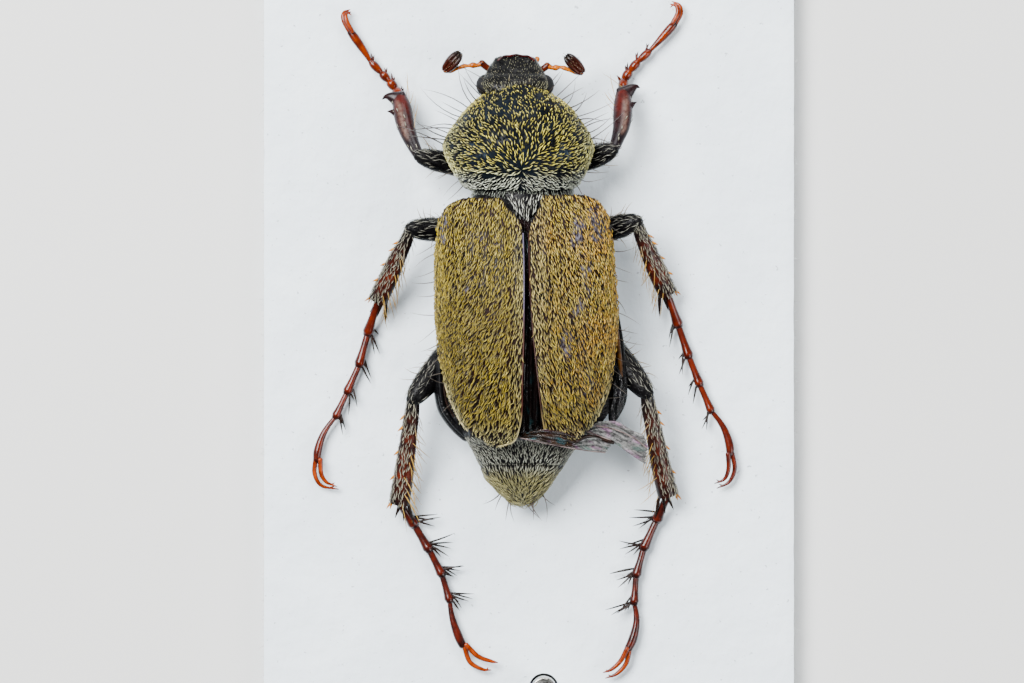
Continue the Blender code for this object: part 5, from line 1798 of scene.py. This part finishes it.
    def hooks(self) -> None:
        """The two claws, each a smooth arc, cleft at its tip."""
        made, wide = [], self.plan.toe_half[1]
        sizes = (0.64, 0.72, 0.52, 0.12) if self.plan.pair is Pair.FRONT else (0.72, 0.66, 0.5, 0.12)
        for k, path in enumerate(self.plan.claws):
            rise = self.level + 0.02 + 0.08 * k
            spots = [(*spot, rise - 0.02 * n, wide * size, wide * size * 0.8)
                     for n, (spot, size) in enumerate(zip(path, sizes))]
            made.append(Bench.skin("hook", bar(spots, 30, 12)))
            near, far = np.array(spots[2][:3]), np.array(spots[3][:3])
            way = far - near
            aside = np.array((*unit(np.array(path[0]) - np.array(path[2])), 0.0))
            split, tip = near + way * 0.55, far - way * 0.12 + aside * 0.07
            cleft = [(*split, wide * 0.3, wide * 0.28), (*((split + tip) / 2), wide * 0.2),
                     (*tip, wide * 0.06)]
            made.append(Bench.skin("cleft", bar(cleft, 8, 10)))
        claws = Bench.join(f"{self.name}_hooks", made)
        dark = (self.plan.pair, self.plan.side) == (Pair.MIDDLE, Side.RIGHT)
        finish = self.palette.toes[Pair.MIDDLE] if dark else self.palette.claw
        Bench.finish(claws, finish, "claw_amber", f"{self.name}_claws")

    def build(self) -> None:
        """Make the leg's pieces."""
        self.femur()
        self.tibia()
        self.tarsus()


LEGS = (
    LegPlan(Pair.FRONT, Side.LEFT, (-1.0, 4.5, 1.1), (-2.29, 4.83, 1.75),
            ((-2.41, 5.06, 0.14), (-2.52, 5.32, 0.175), (-2.6, 5.6, 0.2), (-2.65, 5.86, 0.195),
             (-2.7, 6.08, 0.14)),
            ((-2.78, 6.24), (-2.93, 6.42), (-3.09, 6.59), (-3.31, 6.82)), ((-3.5, 7.12), (-3.72, 7.43)),
            (((-3.74, 7.42), (-3.87, 7.68), (-3.87, 7.84), (-3.74, 7.91)),
             ((-3.69, 7.44), (-3.81, 7.66), (-3.82, 7.81), (-3.72, 7.86))), 0.225,
            teeth=((-3.06, 6.03), (-2.95, 5.77))),
    LegPlan(Pair.FRONT, Side.RIGHT, (0.7, 4.55, 1.1), (1.76, 4.96, 1.75),
            ((1.85, 5.2, 0.14), (1.92, 5.42, 0.175), (1.95, 5.67, 0.2), (1.96, 5.92, 0.195),
             (1.96, 6.2, 0.14)),
            ((1.98, 6.43), (2.11, 6.63), (2.29, 6.83), (2.53, 7.05)), ((2.8, 7.34), (3.03, 7.6)),
            (((3.06, 7.6), (3.17, 7.83), (3.14, 8.0), (2.99, 8.08)),
             ((3.0, 7.62), (3.11, 7.83), (3.08, 7.98), (2.95, 8.02))), 0.225,
            teeth=((2.31, 6.27), (2.24, 5.96))),
    LegPlan(Pair.MIDDLE, Side.LEFT, (-0.9, 3.28, 0.95), (-2.46, 3.31, 1.8),
            ((-2.56, 3.05, 0.14), (-2.72, 2.74, 0.17), (-2.92, 2.3, 0.2), (-3.15, 1.83, 0.2)),
            ((-3.37, 1.14), (-3.55, 0.48), (-3.8, -0.09), (-4.04, -0.6)), ((-4.33, -1.04), (-4.43, -1.51)),
            (((-4.46, -1.5), (-4.48, -1.79), (-4.34, -2.04), (-3.98, -2.12)),
             ((-4.36, -1.5), (-4.34, -1.79), (-4.23, -1.97), (-4.02, -2.06))), 0.25),
    LegPlan(Pair.MIDDLE, Side.RIGHT, (0.8, 3.05, 0.95), (2.24, 3.47, 1.8),
            ((2.32, 3.2, 0.14), (2.47, 2.88, 0.17), (2.66, 2.45, 0.2), (2.89, 1.98, 0.2)),
            ((3.12, 1.31), (3.34, 0.66), (3.57, 0.07), (3.81, -0.48)), ((4.11, -0.92), (4.21, -1.39)),
            (((4.25, -1.38), (4.3, -1.7), (4.18, -1.97), (3.93, -2.1)),
             ((4.16, -1.38), (4.17, -1.68), (4.09, -1.9), (3.88, -2.0))), 0.25),
    LegPlan(Pair.HIND, Side.LEFT, (-0.95, 1.62, 0.95), (-2.4, -0.22, 1.72),
            ((-2.43, -0.5, 0.15), (-2.5, -1.0, 0.17), (-2.59, -1.7, 0.2), (-2.7, -2.41, 0.215)),
            ((-2.4, -2.86), (-2.09, -3.38), (-1.82, -3.9), (-1.66, -4.44)), ((-1.57, -4.92), (-1.39, -5.37)),
            (((-1.36, -5.35), (-1.24, -5.72), (-0.98, -5.88), (-0.79, -5.9)),
             ((-1.31, -5.37), (-1.06, -5.61), (-0.79, -5.71), (-0.65, -5.74))), 0.28, (0.105, 0.078)),
    LegPlan(Pair.HIND, Side.RIGHT, (0.95, 1.75, 0.95), (2.44, -0.09, 1.72),
            ((2.49, -0.4, 0.15), (2.6, -0.9, 0.17), (2.74, -1.6, 0.2), (2.9, -2.24, 0.215)),
            ((2.67, -2.76), (2.4, -3.35), (2.24, -3.92), (2.2, -4.49)), ((2.24, -4.97), (2.08, -5.45)),
            (((2.11, -5.43), (2.03, -5.76), (1.83, -5.98), (1.6, -6.07)),
             ((2.05, -5.45), (1.92, -5.7), (1.73, -5.88), (1.55, -5.95))), 0.28, (0.105, 0.078)),
)


@dataclass
class Mount(Part):
    """The card and its pin."""

    fuzz: int = 260
    hole_gap: float = 0.05
    fibre: Seta = Seta(0.16, 0.013, rise=0.1, thin=0.8, uneven=0.6, sway=0.5)

    def card(self) -> None:
        """The card: cut edges a little uneven, with torn fibres along the sides."""
        low, high = np.array(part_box("card")) / MM
        pin_low, pin_high = np.array(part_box("pin")) / MM
        centre, radius = (pin_low + pin_high)[:2] / 2, (pin_high - pin_low)[0] / 2 + self.hole_gap
        Bench.clear()
        bpy.ops.mesh.primitive_cube_add(size=2 * MM, location=(0, 0, 0))
        card = bpy.context.object
        card.name = card.data.name = "card_sheet"
        half = (high - low) / 2
        Bench.edit()
        bpy.ops.transform.resize(value=tuple(half))
        bpy.ops.transform.translate(value=tuple((low + high) / 2 * MM))
        bpy.ops.mesh.subdivide(number_cuts=60)
        bpy.ops.object.mode_set(mode="OBJECT")
        points = np.empty(len(card.data.vertices) * 3, np.float32)
        card.data.vertices.foreach_get("co", points)
        points = points.reshape(-1, 3) / MM
        wave = 0.02 * grain(points * (1, 1, 3), 0.3, 1.0) + 0.012 * grain(points * (1, 1, 3), 0.09, 2.0)
        edge_x = np.abs(np.abs(points[:, 0]) - half[0]) < 0.01
        points[:, 0] -= np.sign(points[:, 0]) * np.where(edge_x, np.abs(wave) + 0.004, 0)
        card.data.vertices.foreach_set("co", (points * MM).ravel().astype(np.float32))
        bevel = card.modifiers.new("soft edge", "BEVEL")
        bevel.width, bevel.segments, bevel.limit_method = 0.03 * MM, 2, "ANGLE"
        bpy.ops.object.modifier_apply(modifier=bevel.name)
        bpy.ops.mesh.primitive_cylinder_add(vertices=48, radius=radius * MM, depth=3 * MM,
                                            location=(*(centre * MM), 0))
        drill = bpy.context.object
        cut = card.modifiers.new("pin hole", "BOOLEAN")
        cut.object = drill
        Bench.clear()
        card.select_set(True)
        bpy.context.view_layer.objects.active = card
        bpy.ops.object.modifier_apply(modifier=cut.name)
        bpy.data.objects.remove(drill)
        bpy.ops.object.shade_smooth_by_angle(angle=radians(40))
        Bench.finish(card, self.palette.card, "white_card", "card")
        count, draw = self.fuzz, self.rng.uniform
        side = np.where(self.rng.random(count) < 0.5, -1.0, 1.0)
        y = draw(low[1] + 0.2, high[1] - 0.2, count)
        x = np.where(side < 0, low[0] + 0.05, high[0] - 0.05)
        roots = standing(x, y, draw(low[2] + 0.06, high[2] - 0.02, count))
        self.grow("card_fibres", self.fibre, roots, vectors(side, self.rng.normal(0, 0.9, count)),
                  tone(222, 224, 226), "white_card", stiff=True)

    def pin(self) -> None:
        """The pin: a steel wire with a softly rounded, dished end."""
        low, high = np.array(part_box("pin")) / MM
        centre, radius = (low + high)[:2] / 2, (high - low)[0] / 2
        Bench.clear()
        bpy.ops.mesh.primitive_cylinder_add(vertices=64, radius=radius * MM, depth=(high - low)[2] * MM,
                                            location=(*(centre * MM), (low + high)[2] / 2 * MM))
        pin = bpy.context.object
        pin.name = pin.data.name = "pin_wire"
        bpy.ops.object.transform_apply(location=True, rotation=True, scale=True)
        bpy.ops.object.mode_set(mode="EDIT")
        bpy.ops.mesh.select_all(action="DESELECT")
        bpy.ops.object.mode_set(mode="OBJECT")
        for face in pin.data.polygons:
            face.select = face.normal.z > 0.9
        bpy.ops.object.mode_set(mode="EDIT")
        bpy.ops.mesh.inset(thickness=radius * 0.22 * MM)
        bpy.ops.transform.translate(value=(0, 0, -0.01 * MM))
        bpy.ops.mesh.inset(thickness=radius * 0.3 * MM)
        bpy.ops.transform.translate(value=(0, 0, -0.04 * MM))
        bpy.ops.object.mode_set(mode="OBJECT")
        bevel = pin.modifiers.new("worn edge", "BEVEL")
        bevel.width, bevel.segments, bevel.limit_method = 0.04 * MM, 4, "ANGLE"
        bpy.ops.object.modifier_apply(modifier=bevel.name)
        bpy.ops.object.shade_smooth_by_angle(angle=radians(30))
        Bench.finish(pin, self.palette.steel, "pin_steel", "pin")

    def build(self) -> None:
        """Make the card and the pin."""
        self.card()
        self.pin()


@dataclass
class Studio:
    """Pale floor, soft lights and the camera straight overhead."""

    aim: tuple[float, float] = (-0.354, 0.969)
    frame_width: float = 21.33
    height: float = 230.0
    subject_level: float = 1.5
    lamps: tuple[tuple, ...] = (("key", (-50, 45, 100), 64, 0.5), ("fill", (80, -30, 80), 60, 0.1),
                                ("rim", (10, 100, 60), 50, 0.1))
    surround: float = 0.28

    def floor(self) -> None:
        """A plain pale floor."""
        Bench.clear()
        bpy.ops.mesh.primitive_plane_add(size=0.6, location=(0, 0, -0.00002))
        floor = bpy.context.object
        floor.name = "floor"
        mix = Mixer("floor_pale")
        shade = mix.ramp(mix.noise(20.0), ((0.3, tone(206, 206, 204)), (0.7, tone(212, 212, 210))))
        floor.data.materials.append(mix.done(base_color=shade, roughness=0.9))

    def lights(self) -> None:
        """Soft square lights aimed at the beetle, and an even pale surround."""
        for name, place, size, power in self.lamps:
            lamp = bpy.data.lights.new(name, "AREA")
            lamp.shape, lamp.size, lamp.energy = "SQUARE", size * MM, power
            thing = bpy.data.objects.new(name, lamp)
            thing.location = Vector(place) * MM
            thing.rotation_euler = (-thing.location).to_track_quat("-Z", "Y").to_euler()
            bpy.context.scene.collection.objects.link(thing)
        world = bpy.data.worlds.new("surround")
        world.use_nodes = True
        world.node_tree.nodes["Background"].inputs["Color"].default_value = (0.86, 0.9, 0.95, 1)
        world.node_tree.nodes["Background"].inputs["Strength"].default_value = self.surround
        bpy.context.scene.world = world

    def camera(self) -> None:
        """The camera, straight over the photo's centre."""
        lens = bpy.data.cameras.new("camera")
        lens.sensor_width = 36.0
        lens.lens = 36.0 * (self.height - self.subject_level) / self.frame_width
        lens.clip_start, lens.clip_end = 0.01, 10
        eye = bpy.data.objects.new("camera", lens)
        eye.location = Vector((*self.aim, self.height)) * MM
        eye.rotation_euler = (0, 0, 0)
        bpy.context.scene.collection.objects.link(eye)
        bpy.context.scene.camera = eye

    def build(self) -> None:
        """Set the stage."""
        self.floor()
        self.lights()
        self.camera()


CASES = (
    (Side.LEFT,
     Line(((-1.22, -0.58), (-1.18, -0.44), (-1.06, -0.28), (-0.85, -0.21), (0.2, -0.14), (1.4, -0.11),
           (3.0, -0.12), (3.24, -0.13), (3.42, -0.17), (3.56, -0.26), (3.74, -0.44), (3.96, -0.56))),
     Line(((-1.22, -0.7), (-1.18, -0.82), (-1.06, -1.03), (-0.9, -1.24), (-0.4, -1.56), (0.25, -1.78),
           (1.2, -1.95), (2.2, -1.98), (3.2, -1.94), (3.6, -1.85), (3.84, -1.65), (3.96, -1.36))),
     ((-1.78, 3.35, 0.09, 0.45, 1.0), (-1.02, 2.17, 0.07, 0.07, 0.9), (-1.27, 2.04, 0.07, 0.07, 0.9),
      (-0.8, 1.5, 0.1, 0.2, 0.4), (-1.3, 0.3, 0.1, 0.2, 0.4), (-1.0, 3.1, 0.15, 0.2, 0.4))),
    (Side.RIGHT,
     Line(((-1.12, 0.62), (-1.06, 0.46), (-0.9, 0.34), (-0.6, 0.28), (0.2, 0.18), (1.4, 0.06), (2.8, 0.0),
           (3.26, 0.0), (3.42, 0.03), (3.54, 0.1), (3.74, 0.19), (4.02, 0.27))),
     Line(((-1.12, 0.76), (-1.06, 0.95), (-0.9, 1.17), (-0.55, 1.42), (-0.05, 1.65), (0.5, 1.77), (1.5, 1.87),
           (2.4, 1.81), (3.3, 1.73), (3.7, 1.61), (3.92, 1.4), (4.02, 1.16))),
     ((1.45, 3.4, 0.27, 0.4, 1.0), (1.0, 3.2, 0.14, 0.45, 1.0), (1.2, 2.4, 0.11, 0.45, 1.0),
      (1.02, 1.65, 0.12, 0.26, 0.9), (0.77, 0.92, 0.11, 0.28, 0.9), (1.23, 0.08, 0.13, 0.25, 0.85))),
)
FEELERS = (
    (Side.LEFT, ((-0.7, 6.56, 1.58, 0.06), (-0.86, 6.66, 1.6, 0.07), (-0.98, 6.76, 1.62, 0.075),
                 (-1.07, 6.72, 1.64, 0.045), (-1.17, 6.72, 1.65, 0.065), (-1.26, 6.71, 1.65, 0.035),
                 (-1.36, 6.7, 1.66, 0.05), (-1.5, 6.65, 1.67, 0.036), (-1.62, 6.6, 1.68, 0.045),
                 (-1.74, 6.61, 1.69, 0.055)),
     ((-1.76, 6.6, 1.7), (-1.43, 6.98, 1.8)),
     ((-0.5, 6.6, 1.3, 0.06), (-0.58, 6.7, 1.2, 0.05), (-0.6, 6.76, 1.14, 0.05))),
    (Side.RIGHT, ((0.14, 6.54, 1.58, 0.06), (0.26, 6.62, 1.6, 0.07), (0.38, 6.71, 1.62, 0.075),
                  (0.48, 6.67, 1.64, 0.045), (0.56, 6.67, 1.65, 0.065), (0.65, 6.68, 1.65, 0.035),
                  (0.74, 6.66, 1.66, 0.05), (0.86, 6.61, 1.67, 0.036), (0.97, 6.57, 1.68, 0.045),
                  (1.08, 6.56, 1.69, 0.055)),
     ((1.12, 6.56, 1.7), (0.77, 6.92, 1.8)),
     ((0.02, 6.64, 1.3, 0.06), (0.14, 6.78, 1.2, 0.05), (0.17, 6.86, 1.14, 0.06))),
)


def main() -> None:
    """Build and dress every sub-assembly, then set the stage."""
    logging.basicConfig(level=logging.INFO, format="%(name)s %(message)s")
    palette = Palette()
    kinds = [(Mount, ()), (Trunk, ()), *((WingCase, case) for case in CASES), (Shield, ()), (Head, ()),
             *((Feeler, feeler) for feeler in FEELERS), (HindWing, ()), *((Leg, (plan,)) for plan in LEGS)]
    for number, (kind, places) in enumerate(kinds):
        kind(palette, np.random.default_rng(100 + number), *places).build()
    Studio().build()


if __name__ == "__main__":
    main()
